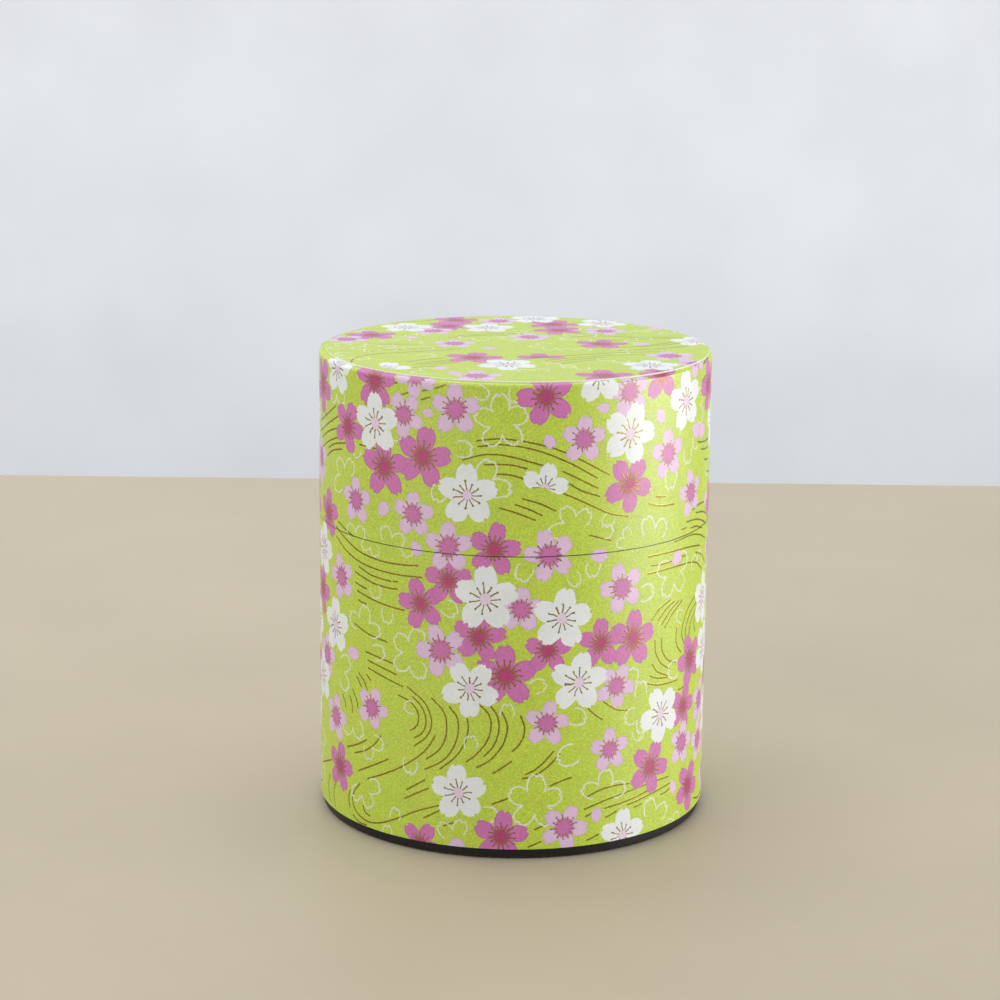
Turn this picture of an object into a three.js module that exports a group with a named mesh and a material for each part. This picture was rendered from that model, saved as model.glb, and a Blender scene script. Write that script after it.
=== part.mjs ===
// A round paper-covered tea caddy: a tinplate canister with a neck ring, a plug-type
// inner lid with a knob, and a deep outer lid that slides down over the neck.
// Millimetres, +Z up. The origin is the centre of the base, on the surface it stands on.
import * as THREE from "three";

// Overall sizes
const outerDiameter = 78;
const bodyHeight = 60; // base to the line where the lid meets the body
const lidHeight = 33.2; // the lid's lower edge to the top of its paper disc
const lidSeatGap = 0.2; // the fine line between body and lid

// Materials
const tin = 0.3; // tinplate sheet
const paper = 0.2; // printed washi on the sides
const discPaper = 0.25; // printed washi on the top
const glueGap = 0.05; // between paper and tin, and between stacked sheets

// Fits between the tin pieces
const slidingGap = 0.1; // radial, on each side of the neck ring's wall
const hookGap = 0.1; // radial, around the barrel's foot in the bottom seam

// Bottom seam
const bandHeight = 2.1; // black band that shows under the paper
const bandInset = 0.5; // how far the band stands back from the paper
const bandCover = 0.4; // how far the band runs up behind the paper
const bandRound = 0.5;
const bottomRecess = 2.6; // the bottom plate's panel above the surface
const footLift = 0.6; // the barrel's lower edge above the surface
const neckInLength = 0.8; // sloping stretch above the barrel's foot

// Neck ring
const neckRise = 26; // above the body's upper edge
const neckOverlap = 15; // inside the barrel
const hemHeight = 2;

// Inner lid
const plugDepth = 9; // lip's underside to the panel's underside
const plugRound = 1.2;
const lipOverhang = 0.1; // the lip stops this far inside the neck ring's outer face
const panelRaise = 0.8;
const panelInset = 8; // plug wall to the raised panel
const panelSlope = 1.5;

// Knob
const knobRadius = 8;
const knobHeight = 7.2;
const knobHeadThickness = 3;
const knobStemRadius = 4.2;
const knobFootRadius = 5.2;
const knobFootHeight = 0.8;
const tenonRadius = 1.5;
const tenonGap = 0.1;
const washerRadius = 4;
const washerThickness = 0.5;
const peenRadius = 2.6;
const peenHeight = 0.7;

// Outer lid
const shoulderRound = 0.5; // outside of the tin
const shoulderFlange = 4.2; // the barrel's top edge, turned in
const paperTurnIn = 3.9; // the side paper, turned in over the shoulder
const plateFlange = 2.2; // the top plate's rim, turned down inside the barrel
const plateRound = 0.6;
const plateStepGap = 0.4; // flange edge to the raised middle of the top plate
const plateStepSlope = 0.6;
const discMargin = 1; // the disc is this much smaller in radius than the lid
const discOffset = 0.4; // hand-laid, a little to the right

const roundSteps = 3; // facets on each small rounded corner
const bigSegments = 48;
const knobSegments = 24;

const radius = outerDiameter / 2;
const barrelRadius = radius - paper - glueGap;
const barrelInside = barrelRadius - tin;
const neckRadius = barrelInside - slidingGap;
const hemInside = neckRadius - 2 * tin;
const plugRadius = hemInside - slidingGap;
const neckTop = bodyHeight + neckRise;
const lipUnderside = neckTop + glueGap;
const panelUnderside = lipUnderside - plugDepth + panelRaise;
const lidBottom = bodyHeight + lidSeatGap;
const totalHeight = lidBottom + lidHeight;
const discUnderside = totalHeight - discPaper;
const turnInTop = discUnderside - glueGap;
const shoulderTop = turnInTop - paper - glueGap;

const tinplate = new THREE.MeshStandardMaterial({ color: "#c9ccd0", roughness: 0.28, metalness: 1 });
const blackLacquer = new THREE.MeshStandardMaterial({ color: "#1c1a19", roughness: 0.45, metalness: 0.2 });
const printedWashi = new THREE.MeshStandardMaterial({ color: "#b2cc3e", roughness: 0.8, metalness: 0 });
const turnedAluminium = new THREE.MeshStandardMaterial({ color: "#d3d4d6", roughness: 0.3, metalness: 1 });

const caddy = new THREE.Group();

function point(r, z) {
  return new THREE.Vector2(r, z);
}

// A quarter-round between two walls at a right angle: its centre, radius and start angle
// (in quarter turns, counter-clockwise from +r), as points.
function quarterRound(r, z, size, startQuarter) {
  const points = [];
  for (let i = 0; i <= roundSteps; i++) {
    const angle = (startQuarter + i / roundSteps) * (Math.PI / 2);
    points.push(point(r + size * Math.cos(angle), z + size * Math.sin(angle)));
  }
  return points;
}

// The closed outline of a sheet whose skin follows the points, with its thickness on the
// left of the way they run. Corners are mitred.
function sheetOutline(skin, thickness) {
  const back = skin.map((p, i) => {
    const before = skin[i - 1] ?? p.clone().multiplyScalar(2).sub(skin[i + 1]);
    const after = skin[i + 1] ?? p.clone().multiplyScalar(2).sub(before);
    const into = p.clone().sub(before).normalize();
    const out = after.clone().sub(p).normalize();
    const left = point(-into.y - out.y, into.x + out.x).normalize();
    const reach = thickness / (left.x * -into.y + left.y * into.x);
    return p.clone().addScaledVector(left, reach);
  });
  return [...skin, ...back.reverse()];
}

// Turns an outline around the Z axis. An outline that starts on the axis also ends on it;
// any other is closed on itself.
function turned(name, material, outline, segments = bigSegments) {
  const onAxis = outline[0].x === 0;
  const profile = onAxis ? outline : [...outline, outline[0]];
  const geometry = new THREE.LatheGeometry(profile, segments);
  geometry.rotateX(Math.PI / 2);
  const mesh = new THREE.Mesh(geometry, material);
  mesh.name = name;
  caddy.add(mesh);
  return mesh;
}

function bottomPlate() {
  const bandRadius = radius - bandInset;
  const footOuter = bandRadius - tin - hookGap;
  const wallInside = footOuter - 2 * tin - hookGap;
  const bandTop = bandHeight + bandCover;
  const skin = [
    point(0, bottomRecess),
    point(wallInside, bottomRecess),
    point(wallInside, 0),
    ...quarterRound(bandRadius - bandRound, bandRound, bandRound, 3),
    point(bandRadius, bandTop),
  ];
  turned("bottom_plate", blackLacquer, sheetOutline(skin, tin));
}

function bodyBarrel() {
  const footOuter = radius - bandInset - tin - hookGap;
  const neckInStart = bandHeight + bandCover + hookGap;
  const skin = [
    point(footOuter, footLift),
    point(footOuter, neckInStart),
    point(barrelRadius, neckInStart + neckInLength),
    point(barrelRadius, bodyHeight),
  ];
  turned("body_barrel", tinplate, sheetOutline(skin, tin));
}

function bodyWrap() {
  const skin = [point(radius, bandHeight), point(radius, bodyHeight)];
  turned("body_washi_wrap", printedWashi, sheetOutline(skin, paper));
}

// A plain ring whose upper edge is folded inwards into a double-thickness hem.
function neckRing() {
  const wallInside = neckRadius - tin;
  const outline = [
    point(neckRadius, bodyHeight - neckOverlap),
    ...quarterRound(neckRadius - tin, neckTop - tin, tin, 0),
    point(hemInside, neckTop - tin),
    point(hemInside, neckTop - hemHeight),
    point(wallInside, neckTop - hemHeight - tin),
    point(wallInside, bodyHeight - neckOverlap),
  ];
  turned("neck_ring", tinplate, outline);
}

// A shallow pan that plugs the neck: a lip on the hem, a wall, and a panel with a raised middle.
function innerLidPan() {
  const floor = panelUnderside - panelRaise;
  const panelRadius = plugRadius - panelInset;
  const skin = [
    point(tenonRadius + tenonGap, panelUnderside),
    point(panelRadius - panelSlope, panelUnderside),
    point(panelRadius, floor),
    ...quarterRound(plugRadius - plugRound, floor + plugRound, plugRound, 3),
    point(plugRadius, lipUnderside),
    point(neckRadius - lipOverhang, lipUnderside),
  ];
  turned("inner_lid_pan", tinplate, sheetOutline(skin, tin));
}

// A mushroom knob with a tenon through the panel, peened over a washer underneath.
function innerLidKnob() {
  const foot = panelUnderside + tin + glueGap;
  const top = foot + knobHeight;
  const headUnderside = top - knobHeadThickness;
  const washerUnderside = panelUnderside - glueGap - washerThickness;
  const peenTop = washerUnderside - glueGap;
  const dome = new THREE.Path();
  dome.moveTo(0, top);
  dome.bezierCurveTo(knobRadius * 0.6, top, knobRadius, top - 0.4, knobRadius, top - knobHeadThickness * 0.5);
  const throat = new THREE.Path();
  throat.moveTo(knobRadius, headUnderside + 0.5);
  throat.bezierCurveTo(
    knobStemRadius + 0.6, headUnderside - 0.3,
    knobStemRadius, headUnderside - 1,
    knobStemRadius, foot + knobFootHeight + 0.5,
  );
  const outline = [
    ...dome.getPoints(5),
    ...throat.getPoints(4),
    point(knobFootRadius, foot + knobFootHeight),
    point(knobFootRadius, foot),
    point(tenonRadius, foot),
    point(tenonRadius, peenTop),
    point(peenRadius, peenTop),
    point(peenRadius * 0.75, peenTop - peenHeight),
    point(0, peenTop - peenHeight),
  ].reverse();
  turned("inner_lid_knob", turnedAluminium, outline, knobSegments);
}

function knobWasher() {
  const top = panelUnderside - glueGap;
  const inside = tenonRadius + tenonGap;
  const skin = [point(inside, top - washerThickness), point(washerRadius, top - washerThickness)];
  turned("knob_washer", turnedAluminium, sheetOutline(skin, washerThickness), knobSegments);
}

// The lid's side wall, with its upper edge turned in to carry the top.
function lidBarrel() {
  const skin = [
    point(barrelRadius, lidBottom),
    ...quarterRound(barrelRadius - shoulderRound, shoulderTop - shoulderRound, shoulderRound, 0),
    point(barrelRadius - shoulderFlange, shoulderTop),
  ];
  turned("lid_barrel", tinplate, sheetOutline(skin, tin));
}

// A pressed cap inside the lid: its rim hugs the wall, its ledge lies under the barrel's
// flange, and its raised middle carries the disc level with the turned-in paper.
function lidTopPlate() {
  const rim = barrelInside - slidingGap;
  const ledgeTop = shoulderTop - tin - glueGap;
  const stepOuter = barrelRadius - shoulderFlange - plateStepGap;
  const skin = [
    point(rim, ledgeTop - plateFlange),
    ...quarterRound(rim - plateRound, ledgeTop - plateRound, plateRound, 0),
    point(stepOuter, ledgeTop),
    point(stepOuter - plateStepSlope, turnInTop),
    point(0, turnInTop),
  ];
  turned("lid_top_plate", tinplate, sheetOutline(skin, tin));
}

// The side paper runs over the shoulder and is turned in under the disc.
function lidWrap() {
  const bend = shoulderRound + glueGap + paper;
  const skin = [
    point(radius, lidBottom),
    ...quarterRound(radius - bend, turnInTop - bend, bend, 0),
    point(radius - paperTurnIn, turnInTop),
  ];
  turned("lid_washi_wrap", printedWashi, sheetOutline(skin, paper));
}

function lidDisc() {
  const outline = [
    point(0, discUnderside),
    point(radius - discMargin, discUnderside),
    point(radius - discMargin, totalHeight),
    point(0, totalHeight),
  ];
  const disc = turned("lid_washi_disc", printedWashi, outline);
  disc.position.x = discOffset;
}

bottomPlate();
bodyBarrel();
bodyWrap();
neckRing();
innerLidPan();
innerLidKnob();
knobWasher();
lidBarrel();
lidTopPlate();
lidWrap();
lidDisc();

export default caddy;
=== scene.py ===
"""A round tinplate tea caddy covered in printed washi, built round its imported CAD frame.

The pieces are turned surfaces worked out on grids. The print is a layout of sakura blossoms and
water lines, given in millimetres on the flat sheet, that each paper's faces look up.
"""

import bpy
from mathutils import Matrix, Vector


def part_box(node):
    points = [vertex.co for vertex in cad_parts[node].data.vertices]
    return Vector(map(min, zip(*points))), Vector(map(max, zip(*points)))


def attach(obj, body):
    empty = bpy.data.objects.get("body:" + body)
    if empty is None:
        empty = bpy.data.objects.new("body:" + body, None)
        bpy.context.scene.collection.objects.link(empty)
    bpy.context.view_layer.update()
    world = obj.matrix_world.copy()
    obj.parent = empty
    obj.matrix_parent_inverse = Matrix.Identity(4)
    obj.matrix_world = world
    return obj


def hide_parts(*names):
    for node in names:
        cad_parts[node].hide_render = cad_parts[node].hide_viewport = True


bl_info = {
    "name": "Washi tea caddy",
    "version": (1, 0, 0),
    "blender": (4, 5, 0),
    "location": "View3D > Sidebar > Tea caddy",
    "description": "Builds the papers, tins and knob of a washi-covered tea caddy",
    "category": "Object",
}

from functools import partial
from math import cos, pi, radians, sin, tau

import bpy
import numpy as np
from mathutils import Euler, Matrix, Vector

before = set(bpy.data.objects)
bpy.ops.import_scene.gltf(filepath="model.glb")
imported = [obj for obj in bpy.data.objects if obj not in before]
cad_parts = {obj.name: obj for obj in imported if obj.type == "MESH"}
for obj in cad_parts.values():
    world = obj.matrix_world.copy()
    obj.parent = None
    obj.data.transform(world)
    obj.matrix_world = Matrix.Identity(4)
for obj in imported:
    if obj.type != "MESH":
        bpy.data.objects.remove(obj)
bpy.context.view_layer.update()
MM = 0.001

# ---------------------------------------------------------------------------------------------
# The print's layout, in millimetres on the flat sheet. Across is the way round the caddy, from
# the middle of the front towards +X, and up is the height above the base.
# A blossom is (across, up, radius, direction of its first petal in degrees), and a drawing with
# some petals left out adds the numbers of those that are drawn.
# ---------------------------------------------------------------------------------------------

OUTLINED = (
    (-2.5, 86, 5.5, 95), (-13, 80.5, 5.3, 0, 0), (-6.3, 73.3, 6, 0, 0, 1),
    (-13.2, 75, 5.5, 250, 0), (-35, 58.8, 4.5, 56, 0, 1), (-25.4, 59.8, 4.4, 38, 0, 1),
    (-30, 60.6, 3.8, 220, 0, 1), (-38.6, 70.6, 5.2, 60, 0, 1, 2), (-22, 62, 4, 290, 0),
    (11.3, 65.4, 4.8, 43, 0, 1, 2), (29, 61.1, 5.3, 38, 0, 1), (23.4, 61.6, 3.2, 110, 0, 1),
    (40.3, 79.3, 5.2, 268, 0), (46.4, 78.6, 4.6, 190, 0), (34.3, 75.9, 5.8, 270, 0),
    (43, 84.6, 5.4, 330, 0, 1), (3.4, 60.2, 5.4, 246, 0), (15.6, 60.2, 4.7, 268, 0),
    (10.6, 57.6, 4, 300, 0), (24.6, 50.9, 5.4, 0, 0), (36, 53.9, 5.7, 238, 0, 1, 2, 4),
    (41, 43, 4.2, 155, 0), (40.4, 33.8, 5.7, 180, 0), (27.2, 28.6, 5.1, 94, 0),
    (27.8, 27.6, 5.1, 197, 0, 1), (23.4, 32.2, 4.8, 62, 0), (25.2, 25.4, 4.5, 300, 0),
    (2.2, 33.6, 4.7, 24, 0), (9.8, 29.4, 5.3, 338, 0), (14.9, 22.3, 6.7, 205, 0),
    (4.7, 11.7, 5.7, 88),
    (18.7, 11.9, 5.4, 85, 0, 1, 4), (31, 3.8, 5.5, 105, 0, 4), (38.3, 0.4, 3.8, 70, 0, 1),
    (-7.6, 20.6, 4.2, 96, 0), (-1, 27.2, 4.2, 88, 0), (-20, 20.2, 5, 262, 0),
    (-31.4, 20.6, 4.8, 278, 0, 1), (-36.2, 23.8, 5.2, 238, 0, 1), (-41.6, 32.2, 5.5, 30, 0, 4),
    (-32.6, 10.4, 5, 9, 0, 3, 4), (-24.4, 4, 4, 80, 0), (-26, -0.3, 4.2, 88, 0),
    (-7.4, 9.6, 5.2, 350, 0), (-10.8, 3.4, 4.6, 70, 0, 1), (-14.8, 51.4, 5.2, 322, 0),
    (-19.8, 39.6, 5.4, 75, 0, 1, 2, 3), (-32.6, 42.1, 5.2, 82, 0, 1, 4),
    (-25.6, 49, 4.6, 262, 0), (-30, 53, 4.4, 292, 0), (-31.2, 37.6, 5, 15, 0),
    (-42, 89, 4.8, 235, 0, 1), (-8.6, 92.6, 4.4, 330, 0), (0.6, 94, 4.6, 262, 0),
    (16, 63.4, 4, 20, 0), (-21.6, 83.6, 4.6, 215, 0), (-33, 79.2, 4.2, 235, 0),
    (-55, 15, 5.4, 70), (-52.6, 83, 5, 20, 0, 1, 4), (55, 92, 5, 200, 0, 1, 2),
    (56, 71.5, 5, 120, 0, 1, 4), (-54.5, 5, 5, 40, 0, 1, 2), (54.5, 47.5, 5, 280, 0, 3, 4),
    (-18, 28.4, 4, 170, 0), (20, 68.4, 4, 235, 0), (46.5, 51.5, 4.6, 60, 0, 1),
)
LOOSE = (
    (-28.6, 65.4, 4.4, 45, 0), (-18.3, 86.8, 2.8, 0, 0), (-20.3, 62, 3.8, 304, 0),
    (5.6, 83.8, 3.6, 300, 0), (15.4, 88, 3.2, 2, 0), (30, 87, 3.8, 294, 0),
    (14.4, 59.6, 4.6, 0, 0), (34.8, 55.6, 4.4, 15, 0), (-38.4, 36.6, 4.7, 0, 0),
    (36.6, 11.2, 3.8, 300, 0), (17, 6, 3.8, 88, 0), (-12.6, 2.2, 4, 10, 0),
    (41.4, 81, 5, 345, 0), (44.4, 80.2, 5, 352, 0), (-50.6, 24, 4, 40, 0),
    (-53, 66.4, 4, 70, 0), (54, 12.5, 4, 120, 0), (53.6, 66, 4, 200, 0),
)
DEEP = (
    (-12.5, 54.8, 5.3, 165), (-18.2, 49.7, 5.5, 106), (-6.3, 44.3, 5.6, 10),
    (6.8, 41.7, 5, 160), (-29.2, 91.5, 5.9, 90), (-37.5, 81.4, 5.6, 66),
    (-26.7, 75.2, 6.4, 93), (-17.8, 78.3, 6.4, 80), (-50.6, 87.4, 6.2, 60),
    (-46.6, 62.5, 5.5, 88), (-3.6, 61.5, 5.6, 80), (5.8, 90.6, 6, 36),
    (31, 93.4, 5.8, 90), (23.2, 72.9, 6, 56), (51.6, 88, 6, 180), (-1.2, 36.8, 6.7, 92),
    (17.4, 42.4, 5.4, 90), (24.7, 42.4, 6.2, 85), (43.4, 34.3, 5.8, 110),
    (40.8, 25.3, 5.2, 0), (29.9, 15.4, 5.9, 66), (44, 7.9, 5.8, 130),
    (-41.2, 12, 5.6, 81), (-18.1, 1.5, 5.2, 60), (-1.8, 4.7, 5.8, 12),
    (-51.6, 46, 5.8, 0), (57.2, 63.6, 5.6, 50), (57.6, 30, 5.6, 15),
)
PALE = (
    (-19.4, 93.8, 5.2, 49), (-22, 85.9, 5.3, 51), (-11.3, 87.9, 5.8, 90),
    (-34.8, 67.4, 5.4, 92), (-19.9, 67, 5.3, 90), (-12.5, 61.4, 5.7, 92),
    (-52.6, 72.5, 5.5, 20), (13.2, 82.3, 5.3, 87), (22.8, 90.6, 5.5, 100),
    (33.3, 77.4, 5.7, 95), (42, 68.2, 5.5, 102), (6.8, 60.4, 6, 107),
    (1.6, 49.9, 5.3, 85), (21.9, 52.8, 5.8, 108), (21, 33.5, 5.2, 60),
    (6.8, 27.3, 5.3, 82), (19.8, 20.9, 5.1, 92), (40.5, 17.8, 5.3, 78),
    (10.5, 6.2, 5.6, 66), (-30, 26.9, 5.2, 70), (-43, 21.8, 5.6, 80),
    (-48, 33.3, 5.6, 10), (-40.3, 51, 5.5, 108), (-13.9, 41, 6.2, 40),
    (50.2, 24, 5.4, 150), (50, 16, 5.5, 170), (43.6, 95, 5.2, 250),
    (57.4, 54, 5.3, 100), (57, 7.4, 5.4, 33),
)
WHITE = (
    (-41.8, 92.2, 6, 90), (-29, 83.4, 6.5, 95), (-8.8, 71.7, 6.6, 92), (16.3, 94.4, 6, 90),
    (23.2, 82.6, 6.8, 0), (39.2, 86.9, 6.5, 97), (5.8, 73.5, 5.2, 78, 0, 1, 4),
    (-5.2, 51.8, 7.1, 90), (-8, 34, 6.4, 54), (-43, 40.6, 6.3, 92), (-50.2, 54.6, 6.3, 80),
    (-51.4, 28, 6, 100), (9.5, 47.9, 6.7, 83), (13, 35.2, 6.6, 83), (-10.2, 13.1, 6.4, 95),
    (32.8, 25.7, 6.5, 45), (23.2, 3, 6, 90), (50.6, 45, 6.2, 150), (52.4, 34.4, 6.2, 60),
    (57, 80, 6, 20), (-56.6, 38.4, 6, 70), (57.4, 20.4, 5.8, 84),
)

# A line of flowing water runs through points given one after the other, as across, up.
WATER = (
    (-7, 82.2, -2, 82.7, 4, 81.8, 10, 79.8, 18.6, 75.2),
    (-6.8, 81.1, -2, 81.6, 4, 80.6, 10, 78.2, 16, 74.8),
    (-9.8, 78.4, -5.5, 79.6, -1, 79.4, 6, 77.5), (9.2, 76.4, 12, 75, 16.2, 72.8),
    (-5.6, 77.7, -1, 77.8, 2.3, 77.1), (10.5, 74, 13, 72.5, 16.6, 71.2),
    (-3.6, 76, 0, 75.7, 5, 73.8, 10, 71.9, 15, 69.5, 19, 67.6, 23, 66.7),
    (1.7, 71.3, 5, 70.3, 7.9, 68.9), (-2.6, 69.5, 0.5, 68.6, 4, 67.2),
    (0.3, 70.2, 2.8, 69.3, 5.3, 68.1), (30, 69.6, 31.3, 69.3, 32.6, 69.2),
    (28, 68.5, 31, 67.6, 35.6, 67.2), (44.8, 77.8, 48, 77.2, 53, 76.9),
    (46.8, 76, 49.5, 75.5, 54, 75.3), (49.5, 73.4, 51.5, 73, 54, 72.8),
    (46, 92.2, 49, 93, 53, 93.2), (46.5, 89.5, 49, 90.2, 52, 90.2),
    (14.7, 63.8, 17, 63.1, 19.2, 62.4), (43, 64.6, 47, 65, 53, 64.4),
    (45, 63.6, 49, 63, 54, 61.4), (40.4, 62.7, 45, 62.3, 49, 61.2, 53, 59.6),
    (38.5, 61.6, 39.4, 61.5, 40.3, 61.6), (42.4, 61.1, 45, 60.9, 49, 59.7),
    (36, 59.6, 42, 59.7, 47, 58.8, 52, 57), (28.3, 58, 36, 57.8, 42, 57.4, 47.6, 56.5),
    (29, 56.1, 32, 55.9, 35.2, 55.9), (38.8, 56.1, 39.8, 56.1, 40.9, 56),
    (28.3, 54.6, 36, 54.6, 42, 54.2, 46, 53.3, 49.5, 51.2), (45.2, 55.6, 49, 54.3, 52.5, 52),
    (29.5, 45.2, 31.5, 47, 35, 48.2), (31.4, 44.8, 34, 46.8, 36.4, 47.6),
    (32.5, 43.8, 35, 46, 38, 47.4), (33.4, 43, 36, 45.4, 39.3, 47.2),
    (46.6, 47.2, 42, 45, 39.8, 42, 39.6, 40, 40.6, 38.2),
    (47, 45.6, 43.2, 43.8, 41.3, 41.5, 41.2, 39.4), (48, 44.6, 44.6, 43, 42.9, 41, 42.9, 39.4),
    (46.2, 43.6, 45.2, 41.2, 46, 39.4), (30.6, 40.9, 30.8, 38.5, 32.5, 36, 35.2, 34.3),
    (32.5, 40.9, 32.8, 38.5, 34.5, 36.3, 37.2, 35.2), (30, 36.2, 31.5, 34.5, 34.7, 33),
    (29.5, 34, 31.5, 33.2, 34.6, 32.7), (28.8, 32.6, 32, 31.7, 38.2, 31.3),
    (37.5, 42, 37.3, 39.8, 38, 38, 39.4, 36.7), (14.6, 30.2, 16, 28.7, 18, 27.2),
    (18.2, 30.7, 21, 28.8, 23.8, 28.2), (38.6, 29.2, 39.6, 29.1, 40.7, 29.3),
    (-42.6, 60.6, -38, 58.8, -33, 57.3, -27, 56.7, -22, 56.8, -18.8, 57.1),
    (-42.4, 58.6, -38, 56.6, -33, 55.3, -28, 54.8, -23, 54.7, -18, 54.9),
    (-33.8, 54.4, -30, 53.4, -25, 53.1), (-24.4, 53.2, -23.9, 53.2, -23.4, 53.3),
    (-35, 53.1, -30, 52, -26, 51.7, -23.4, 51.8), (-35.1, 51.1, -33.4, 50.7, -31.6, 50.4),
    (-34.4, 49.5, -29, 48.5, -24, 48, -21.8, 47.9), (-34.1, 47.7, -33, 47.5, -31.7, 47.4),
    (-35.3, 42.7, -31, 41.5, -25.9, 40.9), (-31.8, 37.8, -28, 37.4, -24.1, 36.8),
    (-31.1, 36.2, -27, 35.5, -23.7, 34.8), (-31.1, 34.7, -27, 33.8, -22.2, 32.7),
    (-41.6, 61.8, -38, 60.7, -35.8, 60.1), (-53, 79.6, -47, 82.2, -42.4, 84.6),
    (-53, 77.6, -47, 80.2, -41.4, 82.7), (-53, 75.9, -47, 78.6, -42.2, 80.2),
    (-51.2, 74.6, -47, 76.6, -42, 78.4), (-46.5, 75.5, -43, 77, -38.8, 77.9),
    (-47.3, 73.8, -44, 75.5, -39.9, 76.5), (-33.6, 78.5, -31, 78.5, -28.7, 78.4),
    (-24.1, 91.7, -22.8, 92.1, -21.3, 92.6), (-23.3, 89.6, -22.2, 89.8, -21.1, 90.2),
    (-17.9, 90.9, -17.1, 91.1, -16.3, 91.4), (-15.3, 91.6, -14.2, 92, -13.1, 92.5),
    (-18.1, 89.2, -17.3, 89.5, -16.4, 89.8),
    (-23.1, 30.8, -20.5, 30, -18.8, 28.3, -18.5, 26.5, -19.2, 25, -20.4, 24.2),
    (-19.9, 31, -18, 29.5, -17, 27.3, -17, 25.5, -18, 23.8, -19.4, 22.9),
    (-21, 32.8, -17.5, 30.5, -16, 28, -15.8, 25.5, -17, 23.2, -19.5, 21.2),
    (-15.7, 31.3, -13.5, 29.3, -12.6, 26.8, -12.9, 23.5, -14.3, 21, -16.8, 19),
    (-15, 23.9, -16.5, 21.3, -19, 18.9, -22.5, 16.4, -26, 14.5, -31.3, 12),
    (-12.1, 30.1, -10.5, 28, -10.3, 25, -11.3, 21.8, -13.5, 19, -17.1, 16.9),
    (-8.7, 28.6, -8.3, 26.5, -8.8, 23.5, -10.7, 20.3, -13.9, 17.4),
    (-6.3, 31.1, -4.3, 29, -3.9, 26.3, -4.8, 23.5, -6.8, 20.9, -8.6, 19.4),
    (-4.1, 30.9, -2.7, 28.8, -2.4, 26, -3.3, 23, -5.2, 20.7),
    (-1.9, 29.8, -1, 27.8, -0.8, 25.8, -1.8, 22.8, -4, 20, -6.6, 18.4),
    (1.7, 28.9, 2.5, 26.8, 2.3, 24.8, 1.3, 22.9, 0.2, 21.9),
    (8.1, 21.7, 6.5, 19.8, 4.7, 18.2, 2.9, 17.3), (9.4, 21.1, 7, 18.6, 4.5, 17, 2.2, 16.4),
    (11.8, 16.2, 9.6, 15.6, 7.6, 14.8), (0.1, 19.9, -1.5, 18.7, -3.4, 17.4),
    (-31.6, 19.9, -34.5, 18.3, -38, 16.9), (-27.6, 21.7, -29.3, 19.6, -31.8, 17.8, -35.4, 16.3),
    (-25.7, 17.3, -29.5, 15.3, -34.1, 13), (-17.1, 14.7, -19, 13.5, -21.1, 12.1),
    (-16.4, 13.1, -19, 11.7, -21.6, 10.2),
    (-33.7, 10.4, -35.5, 8.5, -36.2, 6.5, -35.3, 4.6, -33, 3.5,
     -30, 3.3, -26.5, 4.3, -22.5, 6.2, -18.5, 8.3, -14.1, 10),
    (-32.7, 6.1, -32.2, 5, -30.7, 4.6), (-36.1, 3.3, -34, 2.4, -31.7, 2.4),
    (-14.1, 8.9, -15.6, 8, -17.3, 7), (-11.1, 6.8, -12.1, 6.5, -13.1, 6),
    (-37.1, 8.1, -37.6, 6.4, -37.2, 4.6), (-45.4, 12, -48, 11, -52.6, 9.3),
    (-43.4, 7.7, -44.4, 5.5, -43.5, 2.8), (-46.6, 8.6, -47.6, 6, -46.6, 3),
    (-36.1, 29.1, -34.8, 27.5, -34.3, 25.9), (-37.1, 27.6, -36.3, 26, -36.2, 24.4),
    (-39.9, 27.1, -39, 26, -38.8, 24.9), (-34.6, 32.1, -33.9, 31.3, -33.2, 30.4),
    (-33.9, 33, -32.3, 31.7, -31.4, 30.2), (-31.6, 33.2, -31, 32.8, -30.4, 32.3),
    (-3.6, 11.2, -2, 11.8, -0.2, 12.6), (14.9, 11.9, 18, 13, 21.5, 13.4, 24.6, 13.2),
    (14.6, 9.5, 19, 10.7, 25, 11.7, 31, 12.2, 35.7, 12.1), (18.9, 9.1, 25, 9.9, 30.2, 10.9),
    (24.3, 8.9, 30, 9.8, 36.2, 10.6), (14.9, 8, 15.5, 8.2, 16.1, 8.5),
    (19.2, 7.2, 20.4, 7.6, 21.6, 8.1), (25.9, 8.1, 26.8, 8.2, 27.7, 8.4),
    (33.4, 9, 34.8, 9.1, 36.1, 9.4), (4.7, 6.1, 5.6, 6.5, 6.6, 7), (3.5, 2.6, 4.7, 3.1, 5.9, 3.6),
    (15.2, 3.1, 16.4, 3.5, 17.6, 4), (48, 4, 52, 3, 57, 3.4, 62, 5), (49, 2.2, 53, 1.2, 58, 1.8),
    (-59, 22, -55, 21, -51, 19.4), (-60, 24, -56, 23.2, -53.4, 22),
    (54, 43, 56.4, 44.6, 60, 45.6), (53.4, 84, 56, 86, 60, 87), (52, 70.6, 56, 69.6, 60, 70),
)

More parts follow.
